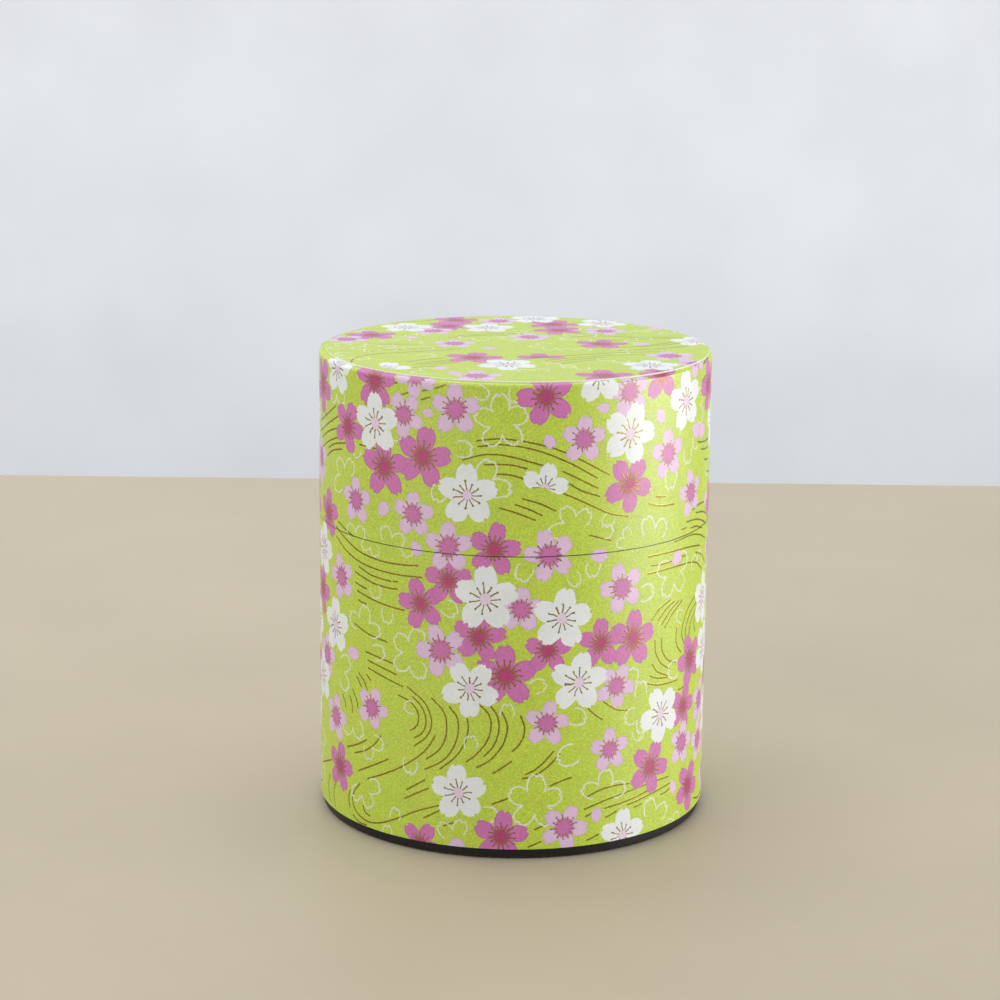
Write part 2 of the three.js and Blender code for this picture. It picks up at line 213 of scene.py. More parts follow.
# The same print on the round sheet of the lid's top, in millimetres from its middle: across
# towards +X, and up towards +Y.
TOP_OUTLINED = (
    (-28, -3.5, 5, 40), (-23.4, 3.6, 4.6, 10, 0, 1, 2), (-19.5, -5.5, 4.6, 60, 0, 1),
    (-20.4, -13.6, 5.4, 40, 0), (-7.4, 11.4, 5, 200, 0, 1, 2), (-4.4, 5.6, 4.4, 30, 0),
    (13, 11.4, 5, 60, 0, 1, 2, 3), (6.6, 1, 4.6, 120, 0, 1, 2), (7, -22.6, 4.6, 20, 0, 1),
    (12.4, -21, 4.4, 200, 0, 1), (3.6, -28.6, 4.6, 70, 0, 1), (20, -12.6, 5, 200, 0, 1),
    (11.6, -5.6, 4.8, 60, 0, 1), (26, 7.4, 5, 100, 0, 1, 2), (-31.4, -12, 5, 150, 0, 1, 2),
    (-16.6, 13, 4.6, 100, 0, 1), (24, 23, 4.8, 240, 0, 1, 2), (-2.4, 17.6, 4.6, 300, 0, 1),
    (-24, 14, 4.6, 200, 0, 1), (18, -4.4, 4.6, 330, 0, 1), (33, 16, 4.6, 80, 0, 1),
    (-33, -2, 4.8, 60, 0, 1, 2), (-15.6, -29, 4.8, 120, 0, 1), (11, 25, 4.6, 280, 0, 1),
)
TOP_LOOSE = (
    (-15.6, -27, 4.6, 66, 0), (-12, -32, 4, 90, 0), (-33.6, 15, 4, 40, 0),
    (-7.6, -2.4, 4, 2, 0), (31, 24, 4.4, 200, 0), (22.6, 4, 4.4, 10, 0), (-20, 8, 4, 130, 0),
)
TOP_DEEP = (
    (-8.6, -13.2, 6.4, 80), (4.6, -12.6, 5.4, 96, 0, 1, 4), (16.4, -31, 6.4, 96),
    (7.4, 27.4, 6, 70), (8.4, 20, 5.6, 40), (-14.4, 23.6, 5.6, 60), (-29.6, 11.6, 5.8, 30),
    (16.8, 4, 5.8, 10), (-13, 31.4, 5.4, 90), (27.6, -27, 5.6, 60),
)
TOP_PALE = (
    (-12.6, 2.8, 5.4, 90), (2.4, 11.4, 5.4, 92), (29.8, -9, 6, 100), (-7.6, -32.6, 6, 92),
    (-17.4, 17.6, 5.2, 30), (-34.4, 6.4, 5.2, 60), (18, 19.6, 5.4, 0), (28, 30, 5.2, 0),
    (-4, 31, 5.2, 20), (34.4, -17, 5.4, 200),
)
TOP_WHITE = (
    (-1.8, -20.4, 6.6, 54), (25.6, -19.6, 6.4, 90), (-25.6, -25, 6.4, 75, 0, 4),
    (-23, 21.8, 6.2, 90), (-6.2, 22.4, 6.2, 88), (17.6, 29.4, 6, 60), (3.6, 34.4, 6, 90),
    (36, 8.6, 6, 100),
)
TOP_WATER = (
    (-20, -21.4, -15.6, -17.4, -11, -14.6), (-18.4, -21.6, -15, -18.8, -12, -17),
    (-16.6, -22, -14, -20, -11.4, -18.6), (-21, -18.4, -17.6, -15.6, -14, -13.6),
    (0, -14.6, 6, -12, 13, -8.4, 21, -5.6, 29, -4), (5.4, -15.4, 11, -12, 18, -9, 25, -7.4),
    (6.6, -17, 12, -13.6, 17, -11.4), (8, -19, 12.4, -15.6, 16, -13.8),
    (20, -3.2, 26, -1.6, 32, 1.4, 35.6, 5), (15, -0.6, 22, 0.6, 29, 3.4, 33.6, 7),
    (24, 2, 29, 5, 32.4, 9), (-32, -20, -31.4, -15, -28, -10.6, -20, -7, -11, -3.4),
    (-29.6, -8, -24, -5, -15, -2.2), (-33, 2, -27, 1, -20, 1.6), (-12, 12, -6, 15, 1, 15.6),
    (-14, 9.6, -8, 12.6, -2, 13.4), (8, 14, 14, 16, 22, 15), (10, 12, 16, 13.6, 23, 12.6),
    (-26, 28, -20, 30, -14, 35), (23, 12, 29, 13, 34, 12), (-22, -25.6, -18, -23.6, -14.6, -23.2),
    (19, 8, 25, 10.4, 31, 11.4),
)

PRINT_REPEAT = 116.0  # the side print comes round again after this many millimetres
WHITE_KIND, PALE_KIND, DEEP_KIND, OUTLINE_KIND, LOOSE_KIND = range(1, 6)
# How much of its circle in the layout each kind of blossom fills
SPREAD = {
    WHITE_KIND: 0.91, PALE_KIND: 0.88, DEEP_KIND: 0.95, OUTLINE_KIND: 0.97, LOOSE_KIND: 0.95,
}
ALL_PETALS = 0b11111  # a mask has a bit for each petal that is drawn
CODE_STEP = 8  # a blossom's code is its kind plus this many times its mask
BLOSSOM_SLOTS = 4  # blossoms that one face of the paper can carry
WATER_SLOTS = 2  # water lines that one face of the paper can carry
NO_LINE = 9.0  # millimetres to a water line, where there is none
FIFTH = tau / 5

# A petal in shares of the blossom's radius: an ellipse with a notch in the middle of its tip
PETAL_MIDDLE, PETAL_HALF_LENGTH = 0.6, 0.42
WHITE_HALF_WIDTH, PINK_HALF_WIDTH = 0.345, 0.315
NOTCH_HALF_WIDTH, NOTCH_DEPTH = 0.08, 0.1

SHARP_ANGLE = 38  # degrees; edges that bend more than this shade as edges
TOUCHING = 1e-6  # millimetres; points closer than this are one


# ---------------------------------------------------------------------------------------------
# Sizes and finishes a user would change
# ---------------------------------------------------------------------------------------------

def millimetres(value):
    """A length in metres, as millimetres."""
    return value / MM


def length_setting(name, description, default_mm):
    """A length shown in scene units, given here in millimetres."""
    return bpy.props.FloatProperty(
        name=name, description=description, default=default_mm * MM, min=0.0, precision=5,
        subtype="DISTANCE", unit="LENGTH",
    )


def linear(hex_colour):
    """A colour written as sRGB hex, turned to the linear values the shaders use, with alpha 1."""
    parts = np.array([int(hex_colour[i:i + 2], 16) for i in (1, 3, 5)]) / 255
    straight = np.where(parts <= 0.04045, parts / 12.92, ((parts + 0.055) / 1.055) ** 2.4)
    return (*straight.tolist(), 1.0)


def colour_setting(name, description, hex_colour):
    """A colour, given here as sRGB hex."""
    return bpy.props.FloatVectorProperty(
        name=name, description=description, default=linear(hex_colour)[:3], min=0.0, max=1.0,
        size=3, subtype="COLOR",
    )


def half_width(node):
    """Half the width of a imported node, in metres."""
    low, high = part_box(node)
    return (high.x - low.x) / 2


class CaddySizes(bpy.types.PropertyGroup):
    """Sizes of the papers and the tins."""

    outer_radius: length_setting(
        "Outer radius", "Axis to the face of the side paper",
        millimetres(half_width("body_washi_wrap")))
    body_height: length_setting(
        "Body height", "Base to the line where the lid meets the body",
        millimetres(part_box("body_washi_wrap")[1].z))
    lid_bottom: length_setting(
        "Lid's lower edge", "Base to the lid's lower edge",
        millimetres(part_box("lid_washi_wrap")[0].z))
    total_height: length_setting(
        "Total height", "Base to the top of the round paper",
        millimetres(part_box("lid_washi_disc")[1].z))
    tin: length_setting("Tinplate", "Thickness of the sheet", 0.3)
    paper: length_setting("Side paper", "Thickness of the washi on the sides", 0.2)
    disc_paper: length_setting("Top paper", "Thickness of the washi on the top", 0.25)
    lap_width: length_setting("Paper lap", "Overlap of the side paper at the back", 6)
    lap_rise: length_setting("Lap rise", "How far the lapped paper stands proud", 0.13)


class CaddyColours(bpy.types.PropertyGroup):
    """Colours of the print, the lacquer and the metals."""

    ground: colour_setting("Ground", "Yellow-green ground of the print", "#BBD22A")
    white_petal: colour_setting("White petal", "White blossoms", "#E8ECEE")
    pale_petal: colour_setting("Pale petal", "Pale pink blossoms", "#E0BEDF")
    deep_petal: colour_setting("Deep petal", "Deep pink blossoms", "#CC66AE")
    outline_ink: colour_setting("Outline", "Blossoms drawn in outline", "#F4FAE0")
    white_core: colour_setting("White's heart", "Middle of the white blossoms", "#E4CEE4")
    pale_core: colour_setting("Pale pink's heart", "Middle of the pale blossoms", "#C866AA")
    deep_core: colour_setting("Deep pink's heart", "Middle of the deep blossoms", "#B2006A")
    gold_ink: colour_setting("Gold ink", "Water lines and stamens", "#94863A")
    cut_paper: colour_setting("Cut paper", "Bare edge and back of the washi", "#F1EFE2")
    lacquer: colour_setting("Lacquer", "Black lacquer of the bottom seam", "#131110")
    tin: colour_setting("Tin", "Tinned steel", "#C9CBCD")
    aluminium: colour_setting("Aluminium", "Turned aluminium of the knob", "#D6D7D9")
    floor: colour_setting("Floor", "Plain pale floor", "#BDB19A")
    wall: colour_setting("Wall", "Plain pale wall behind", "#E6E8EB")


# ---------------------------------------------------------------------------------------------
# Surfaces: sections turned round the axis, all in millimetres until they are laid in a mesh
# ---------------------------------------------------------------------------------------------

def quarter_round(r, z, size, start, steps=7):
    """A quarter of a circle about (r, z), from a start in quarter turns, as section points."""
    angle = (start + np.linspace(0, 1, steps + 1)) * (pi / 2)
    return np.stack([r + size * np.cos(angle), z + size * np.sin(angle)], 1)


def sheet_section(skin, thickness):
    """The outline of a folded sheet: the skin's points, then back along the same line stood off
    to the left by the thickness, each corner moved along its bisector."""
    skin = np.vstack([np.atleast_2d(p) for p in skin]).astype(float)
    step = np.diff(skin, axis=0)
    step /= np.linalg.norm(step, axis=1)[:, None]
    before, after = np.vstack([step[:1], step]), np.vstack([step, step[-1:]])
    left = np.stack([-(before + after)[:, 1], (before + after)[:, 0]], 1)
    left /= np.linalg.norm(left, axis=1)[:, None]
    reach = thickness / (left[:, 1] * before[:, 0] - left[:, 0] * before[:, 1])
    return np.vstack([skin, (skin + left * reach[:, None])[::-1]])


def eased(section, radius, closed=True, steps=3):
    """A section with each corner cut by a small curve: the two points at most one radius away
    along its sides, joined by a parabola whose control point is the corner."""
    largest_share = 0.45  # of a side, so that two corners' curves never meet
    section = np.vstack([np.atleast_2d(p) for p in section]).astype(float)
    gaps = np.linalg.norm(np.diff(section, axis=0), axis=1)
    section = section[np.concatenate([[True], gaps > TOUCHING])]
    last, following = np.roll(section, 1, axis=0), np.roll(section, -1, axis=0)
    ahead, behind = following - section, last - section
    ahead_length = np.linalg.norm(ahead, axis=1)[:, None]
    behind_length = np.linalg.norm(behind, axis=1)[:, None]
    reach = np.minimum(np.minimum(ahead_length, behind_length) * largest_share, radius)
    start = section + behind / behind_length * reach
    end = section + ahead / ahead_length * reach
    t = np.linspace(0, 1, steps + 1)[None, :, None]
    curve = (
        (1 - t) ** 2 * start[:, None] + 2 * t * (1 - t) * section[:, None]
        + t ** 2 * end[:, None]
    ).reshape(-1, 2)
    if closed:
        return curve
    return np.vstack([section[:1], curve[steps + 1:-steps - 1], section[-1:]])


def cubic(start, lead, follow, end, steps=12):
    """Section points along a cubic curve from start to end, with its two control points."""
    a, b, c, d = np.array([start, lead, follow, end], float)
    t = np.linspace(0, 1, steps + 1)[:, None]
    return (
        (1 - t) ** 3 * a + 3 * (1 - t) ** 2 * t * b + 3 * (1 - t) * t ** 2 * c + t ** 3 * d
    )


def pressed_ring(outer, width, slope, level, rise):
    """Section points, going outwards, of a ring pressed up out of a flat panel."""
    inner = outer - width
    return [
        (inner, level), (inner + slope, level + rise), (outer - slope, level + rise),
        (outer, level),
    ]


def with_rows(section, spacing, closed=True):
    """A section with points added evenly on every side longer than the spacing, and two more
    close to the ends of every side but the shortest, so that flat walls shade flat."""
    shortest, hold = 0.8, 0.08
    ends = np.vstack([section, section[:1]]) if closed else section
    rows = []
    for start, end in zip(ends[:-1], ends[1:]):
        span = np.linalg.norm(end - start)
        count = max(1, int(np.ceil(span / spacing)))
        share = np.linspace(0, 1, count + 1)[:-1]
        if span > shortest:
            share = np.unique(np.concatenate([share, [hold / span, 1 - hold / span]]))
        rows.append(start + (end - start) * share[:, None])
    if not closed:
        rows.append(section[-1:])
    return np.vstack(rows)


def turned_grid(section, angles, closed):
    """Carries a section round the z axis: x = r sin(angle), y = -r cos(angle). Returns the
    points, and the row and the column of each face's four corners."""
    rows, columns = len(section), len(angles)
    radius, height = section[:, 0][:, None], section[:, 1][:, None]
    grid = np.stack([
        radius * np.sin(angles), -radius * np.cos(angles), height + 0 * angles[None, :]
    ], -1)
    row = np.arange(rows if closed else rows - 1)[:, None]
    column = np.arange(columns)[None, :]
    corner_rows = np.stack(np.broadcast_arrays(row, row, row + 1, row + 1), -1)
    corner_columns = np.stack(np.broadcast_arrays(column, column + 1, column + 1, column), -1)
    shape = (len(row), columns, 4)
    return grid, np.broadcast_to(corner_rows, shape), np.broadcast_to(corner_columns, shape)


def lay_mesh(name, grid, corner_rows, corner_columns, uv):
    """Makes the object: grid points in millimetres become metres, a row that meets in one point
    keeps one and its faces become triangles, and the sheet map goes in as the piece's own UV map.
    Returns the object and the choice of corners that stayed, for its attributes."""
    rows, columns = grid.shape[:2]
    index = (corner_rows % rows) * columns + corner_columns % columns
    meets = np.ptp(grid, axis=1).max(1) < TOUCHING
    first = np.arange(rows) * columns
    index = np.where(meets[corner_rows % rows], first[corner_rows % rows], index)
    index = index.reshape(-1, 4)
    keep = np.ones(index.shape, bool)
    keep[:, 1] = index[:, 1] != index[:, 0]
    keep[:, 3] = index[:, 3] != index[:, 2]
    sizes = keep.sum(1)
    loops = index[keep]
    used, loops = np.unique(loops, return_inverse=True)
    points = grid.reshape(-1, 3)[used] * MM
    mesh = bpy.data.meshes.new(name)
    mesh.vertices.add(len(points))
    mesh.vertices.foreach_set("co", points.astype(np.float32).ravel())
    mesh.loops.add(len(loops))
    mesh.loops.foreach_set("vertex_index", loops.astype(np.int32).ravel())
    mesh.polygons.add(len(sizes))
    starts = np.concatenate([[0], np.cumsum(sizes)[:-1]])
    mesh.polygons.foreach_set("loop_start", starts.astype(np.int32))
    mesh.update(calc_edges=True)
    mesh.polygons.foreach_set("use_smooth", np.ones(len(sizes), bool))
    mesh.set_sharp_from_angle(angle=radians(SHARP_ANGLE))
    layer = mesh.uv_layers.new(name="OFBake")
    layer.data.foreach_set("uv", uv.reshape(-1, 4, 2)[keep].astype(np.float32).ravel())
    mesh.validate()
    piece = bpy.data.objects.new(name, mesh)
    bpy.context.scene.collection.objects.link(piece)
    return piece, keep


def row_lengths(section, closed):
    """Distance along a section to each point, and to its end, in millimetres."""
    ends = np.vstack([section, section[:1]]) if closed else section
    return np.concatenate([[0], np.cumsum(np.linalg.norm(np.diff(ends, axis=0), axis=1))])


def strip_map(section, corner_rows, corner_columns, columns, closed):
    """A map that unrolls the whole surface: across is the way round, up is the way along the
    section, both filling the sheet but for a thin margin."""
    margin = 0.005
    along = row_lengths(section, closed)
    up = margin + (1 - 2 * margin) * along[corner_rows] / along[-1]
    return np.stack([corner_columns / columns, up], -1)


def turned_piece(name, section, columns=192, closed=True):
    """A plain turned piece: a section carried once round the axis."""
    angles = np.arange(columns) / columns * tau - pi
    grid, rows, cols = turned_grid(section, angles, closed)
    uv = strip_map(section, rows, cols, columns, closed)
    return lay_mesh(name, grid, rows, cols, uv)[0]


def give(piece, body, node, material):
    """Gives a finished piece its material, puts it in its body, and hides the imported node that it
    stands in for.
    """
    piece.data.materials.append(material)
    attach(piece, body)
    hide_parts(node)
    return piece


# ---------------------------------------------------------------------------------------------
# The print, written into the faces of a paper
# ---------------------------------------------------------------------------------------------

def all_blossoms(whites, pales, deeps, looses, outlines):
    """The layout as rows of (across, up, radius, direction in radians, kind, petal mask), the
    blossoms that lie on top first."""
    rows = []
    kinds = (
        (whites, WHITE_KIND), (pales, PALE_KIND), (deeps, DEEP_KIND), (looses, LOOSE_KIND),
        (outlines, OUTLINE_KIND),
    )
    for blossoms, kind in kinds:
        for across, up, radius, direction, *petals in blossoms:
            mask = sum(1 << petal for petal in petals) or ALL_PETALS
            rows.append((across, up, radius * SPREAD[kind], radians(direction), kind, mask))
    return rows


def petal_edge(x, y, kind, mask):
    """How far a point is outside the drawn petals, below zero inside them. Each fifth of the
    blossom is turned onto one petal: an ellipse, with a notch where the point is moved outwards
    along the petal's middle line."""
    undrawn = 9.0
    r, turn = np.hypot(x, y), np.arctan2(y, x)
    fifth = np.round(turn / FIFTH)
    fold = turn - fifth * FIFTH
    a, b = r * np.cos(fold), np.abs(r * np.sin(fold))
    a = a + NOTCH_DEPTH * np.maximum(0, 1 - b / NOTCH_HALF_WIDTH)
    half = WHITE_HALF_WIDTH if kind == WHITE_KIND else PINK_HALF_WIDTH
    edge = np.hypot((a - PETAL_MIDDLE) / PETAL_HALF_LENGTH, b / half) - 1
    drawn = (mask >> (fifth.astype(int) % 5)) & 1
    return np.where(drawn == 1, edge, undrawn)


def face_samples(corners):
    """Nine points spread evenly over each face, from its four corners."""
    t = np.array([0.0, 0.5, 1.0])
    u, v = (g.ravel()[None, :, None] for g in np.meshgrid(t, t))
    a, b, c, d = (corners[:, i][:, None] for i in range(4))
    return a * (1 - u) * (1 - v) + b * u * (1 - v) + c * u * v + d * (1 - u) * v


def paint_blossoms(corners, blossoms, shifts):
    """Gives each face its blossoms, the topmost first, as corner values of (x, y, code), where x
    and y are in the blossom's own turned frame in radii. A face that a blossom covers whole takes
    no more below it. The margins leave room for the drawing's wavering."""
    outer_margin, inner_margin, stroke_margin = 0.3, -0.2, -0.4
    stamen_reach, stamen_fade = 0.62, 0.4
    count = len(corners)
    slots = np.zeros((BLOSSOM_SLOTS, count, 4, 3))
    filled, shut = np.zeros(count, int), np.zeros(count, bool)
    middles, samples = corners.mean(1), face_samples(corners)
    for across, up, radius, direction, kind, mask in blossoms:
        for shift in shifts:
            centre = np.array([across + shift, up])
            near = np.flatnonzero(
                (np.abs(middles - centre).max(1) < radius * 1.1 + 1) & ~shut
            )
            if not len(near):
                continue
            turn = np.array([[cos(direction), -sin(direction)], [sin(direction), cos(direction)]])
            local = (samples[near] - centre) @ turn / radius
            edge = petal_edge(local[..., 0], local[..., 1], kind, mask)
            if kind <= DEEP_KIND:
                heart = (np.hypot(local[..., 0], local[..., 1]) - stamen_reach) / stamen_fade
                touched = np.minimum(edge, heart).min(1) < outer_margin
                whole = edge.max(1) < inner_margin
            else:
                touched = edge.min(1) < outer_margin
                whole = np.zeros(len(near), bool)
                if kind == OUTLINE_KIND:
                    touched &= edge.max(1) > stroke_margin
            open_slot = filled[near] < BLOSSOM_SLOTS
            take = near[touched & open_slot]
            place = (corners[take] - centre) @ turn / radius
            slots[filled[take], take, :, :2] = place
            slots[filled[take], take, :, 2] = kind + CODE_STEP * mask
            filled[take] += 1
            shut[near[whole & touched]] = True
    return slots


def through(points, steps=14):
    """A smooth line through points: between each two, the Catmull-Rom cubic."""
    p = np.array(points, float).reshape(-1, 2)
    p = np.vstack([2 * p[0] - p[1], p, 2 * p[-1] - p[-2]])
    t = np.linspace(0, 1, steps + 1)[:-1, None]
    a, b, c, d = (p[i:len(p) - 3 + i, None] for i in range(4))
    line = 0.5 * (
        2 * b + (c - a) * t + (2 * a - 5 * b + 4 * c - d) * t ** 2
        + (3 * b - 3 * c + d - a) * t ** 3
    )
    return np.vstack([line.reshape(-1, 2), p[-2]])


def paint_water(corners, lines, shifts):
    """Gives each face its water lines, as corner values of (across the line, along it from its
    start, its length), in millimetres, from the nearest point of the line and its heading."""
    look_around, line_reach = 1.2, 0.42  # millimetres
    count = len(corners)
    slots = np.zeros((WATER_SLOTS, count, 4, 3))
    slots[..., 0] = NO_LINE
    filled = np.zeros(count, int)
    middles, samples = corners.mean(1), face_samples(corners)
    for points in lines:
        line = through(points)
        heading = np.gradient(line, axis=0)
        heading /= np.linalg.norm(heading, axis=1)[:, None]
        along = row_lengths(line, False)
        for shift in shifts:
            moved = line + (shift, 0)
            low, high = moved.min(0) - look_around, moved.max(0) + look_around
            near = np.flatnonzero(((middles > low) & (middles < high)).all(1))
            if not len(near):
                continue
            gap = np.linalg.norm(samples[near][:, :, None] - moved, axis=-1).min((1, 2))
            touched = near[gap < line_reach]
            take = touched[filled[touched] < WATER_SLOTS]
            if not len(take):
                continue
            away = corners[take][:, :, None] - moved
            closest = np.linalg.norm(away, axis=-1).argmin(-1)
            offset = np.take_along_axis(away, closest[..., None, None], 2)[:, :, 0]
            ahead = heading[closest]
            slots[filled[take], take, :, 0] = (
                offset[..., 0] * ahead[..., 1] - offset[..., 1] * ahead[..., 0]
            )
            slots[filled[take], take, :, 1] = along[closest] + (offset * ahead).sum(-1)
            slots[filled[take], take, :, 2] = along[-1]
            filled[take] += 1
    return slots


def print_on(piece, keep, corners, inked, blossoms, lines, shifts=(0,)):
    """Writes a print into a paper's corners. Inked says which faces carry it."""
    mesh = piece.data
    flowers = paint_blossoms(corners[inked], blossoms, shifts)
    waters = paint_water(corners[inked], lines, shifts)
    for stem, slots, away in (("blossom", flowers, 0.0), ("water", waters, NO_LINE)):
        for number, slot in enumerate(slots):
            full = np.zeros((len(keep), 4, 3))
            full[..., 0] = away
            full[inked] = slot
            layer = mesh.attributes.new(f"{stem}_{number}", "FLOAT_VECTOR", "CORNER")
            layer.data.foreach_set("vector", full[keep].astype(np.float32).ravel())
    layer = mesh.attributes.new("inked", "FLOAT", "FACE")
    layer.data.foreach_set("value", inked.astype(np.float32))


# ---------------------------------------------------------------------------------------------
# Materials
# ---------------------------------------------------------------------------------------------

DOWN = (1.0, 0.0)  # a MapRange's outputs that fall as its input rises
SMOOTH = {"interpolation_type": "SMOOTHSTEP"}


def wire(tree, kind, *inputs, pick=0, **settings):
    """Adds a shader node, sets its settings, then fills or links its inputs in their order, None
    leaving one as it is. A kind of two words is a node and its operation. Returns the picked
    output."""
    kind, _, operation = kind.partition(" ")
    node = tree.nodes.new("ShaderNode" + kind)
    if operation:
        node.operation = operation
    for name, value in settings.items():
        setattr(node, name, value)
    for socket, value in zip([s for s in node.inputs if s.enabled], inputs):
        if isinstance(value, bpy.types.NodeSocket):
            tree.links.new(value, socket)
        elif value is not None:
            socket.default_value = value
    return [s for s in node.outputs if s.enabled][pick]


def with_stops(colour, stops, interpolation="CONSTANT"):
    """Gives a colour ramp's output its (place, colour) stops."""
    band = colour.node.color_ramp
    band.interpolation = interpolation
    while len(band.elements) < len(stops):
        band.elements.new(0.5)
    for element, (place, _) in zip(band.elements, stops):
        element.position = place
    for element, (_, value) in zip(band.elements, stops):
        element.color = value
    return colour


def finish_material(name, build, **constants):
    """A material whose builder returns its surface inputs by name. Constants go straight onto the
    shader's own sockets."""
    material = bpy.data.materials.new(name)
    material.use_nodes = True
    tree = material.node_tree
    tree.nodes.clear()
    shader = wire(tree, "BsdfPrincipled").node
    surface = tree.nodes.new("ShaderNodeOutputMaterial").inputs["Surface"]
    tree.links.new(shader.outputs[0], surface)
    for socket, value in constants.items():
        shader.inputs[socket.replace("_", " ")].default_value = value
    for socket, value in build(tree).items():
        tree.links.new(value, shader.inputs[socket])
    return material


def kind_stops(values):
    """Constant ramp stops for the blossom kinds, from white upwards, each half a step early."""
    return [((kind - 0.5) / CODE_STEP, value) for kind, value in enumerate(values, WHITE_KIND)]


def blossom_group(colours):
    """Lays one blossom over what lies under it. The place is (x, y, code) in the blossom's own
    radii, folded in fifths onto one petal. The petal is the ellipse of petal_edge, notched at
    its tip. Stamens are thin spokes round the heart, each with a dot at its end."""
    tree = bpy.data.node_groups.new("Blossom", "ShaderNodeTree")
    face = tree.interface
    for name, kind in (
        ("Under", "NodeSocketColor"), ("Under gold", "NodeSocketFloat"),
        ("Place", "NodeSocketVector"), ("Wobble", "NodeSocketVector"),
    ):
        face.new_socket(name=name, in_out="INPUT", socket_type=kind)
    face.new_socket(name="Colour", in_out="OUTPUT", socket_type="NodeSocketColor")
    face.new_socket(name="Gold", in_out="OUTPUT", socket_type="NodeSocketFloat")
    under, under_gold, place, wobble = list(tree.nodes.new("NodeGroupInput").outputs)[:4]
    add = partial(wire, tree)

    code = add("Math ROUND", add("SeparateXYZ", place, pick=2))
    kind = add("Math MODULO", code, float(CODE_STEP))
    share = add("Math DIVIDE", kind, float(CODE_STEP))
    mask = add("Math FLOOR", add("Math DIVIDE", code, float(CODE_STEP)))
    moved = add("VectorMath ADD", place, wobble)
    x = add("SeparateXYZ", moved, pick=0)
    y = add("SeparateXYZ", moved, pick=1)
    r = add("VectorMath LENGTH", add("CombineXYZ", x, y))
    turn = add("Math ARCTAN2", y, x)
    fifth = add("Math ROUND", add("Math DIVIDE", turn, FIFTH))
    fold = add("Math SUBTRACT", turn, add("Math MULTIPLY", fifth, FIFTH))
    fifth = add("Math FLOORED_MODULO", fifth, 5.0)
    bit = add("Math DIVIDE", mask, add("Math POWER", 2.0, fifth))
    drawn = add("Math MODULO", add("Math FLOOR", add("Math ADD", bit, 0.001)), 2.0)
    # No two petals are quite alike: each leans up to 3 degrees, and is up to 4 % out in length
    luck = add("TexWhiteNoise", add("Math MULTIPLY", fifth, 1.7), noise_dimensions="1D")
    luck = add("Math SUBTRACT", luck, 0.5)
    fold = add("Math ADD", fold, add("Math MULTIPLY", luck, 0.1))
    size = add("Math ADD", 1.0, add("Math MULTIPLY", luck, 0.08))
    a = add("Math MULTIPLY", add("Math MULTIPLY", r, add("Math COSINE", fold)), size)
    b = add("Math ABSOLUTE", add("Math MULTIPLY", r, add("Math SINE", fold)))
    # One notch in the middle of the tip, with fine teeth on both sides of it
    notch = add("Math SUBTRACT", 1.0, add("Math DIVIDE", b, NOTCH_HALF_WIDTH))
    notch = add("Math MAXIMUM", notch, 0.0)
    a = add("Math ADD", a, add("Math MULTIPLY", notch, NOTCH_DEPTH))
    a = add("Math ADD", a, add("Math MULTIPLY", add("Math PINGPONG", b, 0.045), 0.75))
    is_pink = add("Math GREATER_THAN", kind, WHITE_KIND + 0.5)
    narrow = add("Math MULTIPLY", is_pink, WHITE_HALF_WIDTH - PINK_HALF_WIDTH)
    long_way = add("Math DIVIDE", add("Math SUBTRACT", a, PETAL_MIDDLE), PETAL_HALF_LENGTH)
    short_way = add("Math DIVIDE", b, add("Math SUBTRACT", WHITE_HALF_WIDTH, narrow))
    edge = add("VectorMath LENGTH", add("CombineXYZ", long_way, short_way))
    edge = add("Math SUBTRACT", edge, 1.0)
    is_outline = add("Math COMPARE", kind, float(OUTLINE_KIND), 0.3)
    is_printed = add("Math GREATER_THAN", kind, WHITE_KIND - 0.5)
    is_flower = add("Math MULTIPLY", is_printed, add("Math LESS_THAN", kind, DEEP_KIND + 0.5))
    is_flower = add("Math MULTIPLY", is_flower, drawn)

    petals = add("MapRange", edge, -0.035, 0.035, *DOWN, **SMOOTH)
    petals = add("Math MULTIPLY", add("Math MULTIPLY", petals, drawn), is_printed)
    heart = add("MapRange", r, 0.25, 0.3, *DOWN, **SMOOTH)
    solid = add("Math MAXIMUM", petals, add("Math MULTIPLY", heart, is_flower))
    stroke = add("MapRange", add("Math ABSOLUTE", edge), 0.06, 0.12, *DOWN, **SMOOTH)
    # An outline stops short of the heart
    outside = add("MapRange", r, 0.4, 0.48, 0.0, 1.0, **SMOOTH)
    stroke = add("Math MULTIPLY", add("Math MULTIPLY", stroke, outside), drawn)
    cover = add("Mix", is_outline, solid, stroke, data_type="FLOAT")

    petal_colours = [
        (*c, 1) for c in (colours.white_petal, colours.pale_petal, colours.deep_petal,
                          colours.outline_ink, colours.pale_petal)
    ]
    core_colours = [
        (*c, 1) for c in (colours.white_core, colours.pale_core, colours.deep_core)
    ]
    petal = with_stops(add("ValToRGB", share), kind_stops(petal_colours))
    core = with_stops(add("ValToRGB", share), kind_stops(core_colours))
    # Shares of the radius: full core, core's faded edge and stamens' end, then the number of
    # stamens as a share of the most there can be
    most_stamens, heartless = 20.0, (0, 0, 0, 0.5)
    shape = with_stops(add("ValToRGB", share), kind_stops([
        (0.16, 0.22, 0.45, 0.55), (0.36, 0.44, 0.52, 0.65), (0.2, 0.42, 0.47, 0.75),
        heartless, heartless,
    ]))
    inner = add("SeparateColor", shape, pick=0)
    outer = add("SeparateColor", shape, pick=1)
    tips = add("SeparateColor", shape, pick=2)
    number = add("Math MULTIPLY", shape.node.outputs["Alpha"], most_stamens)

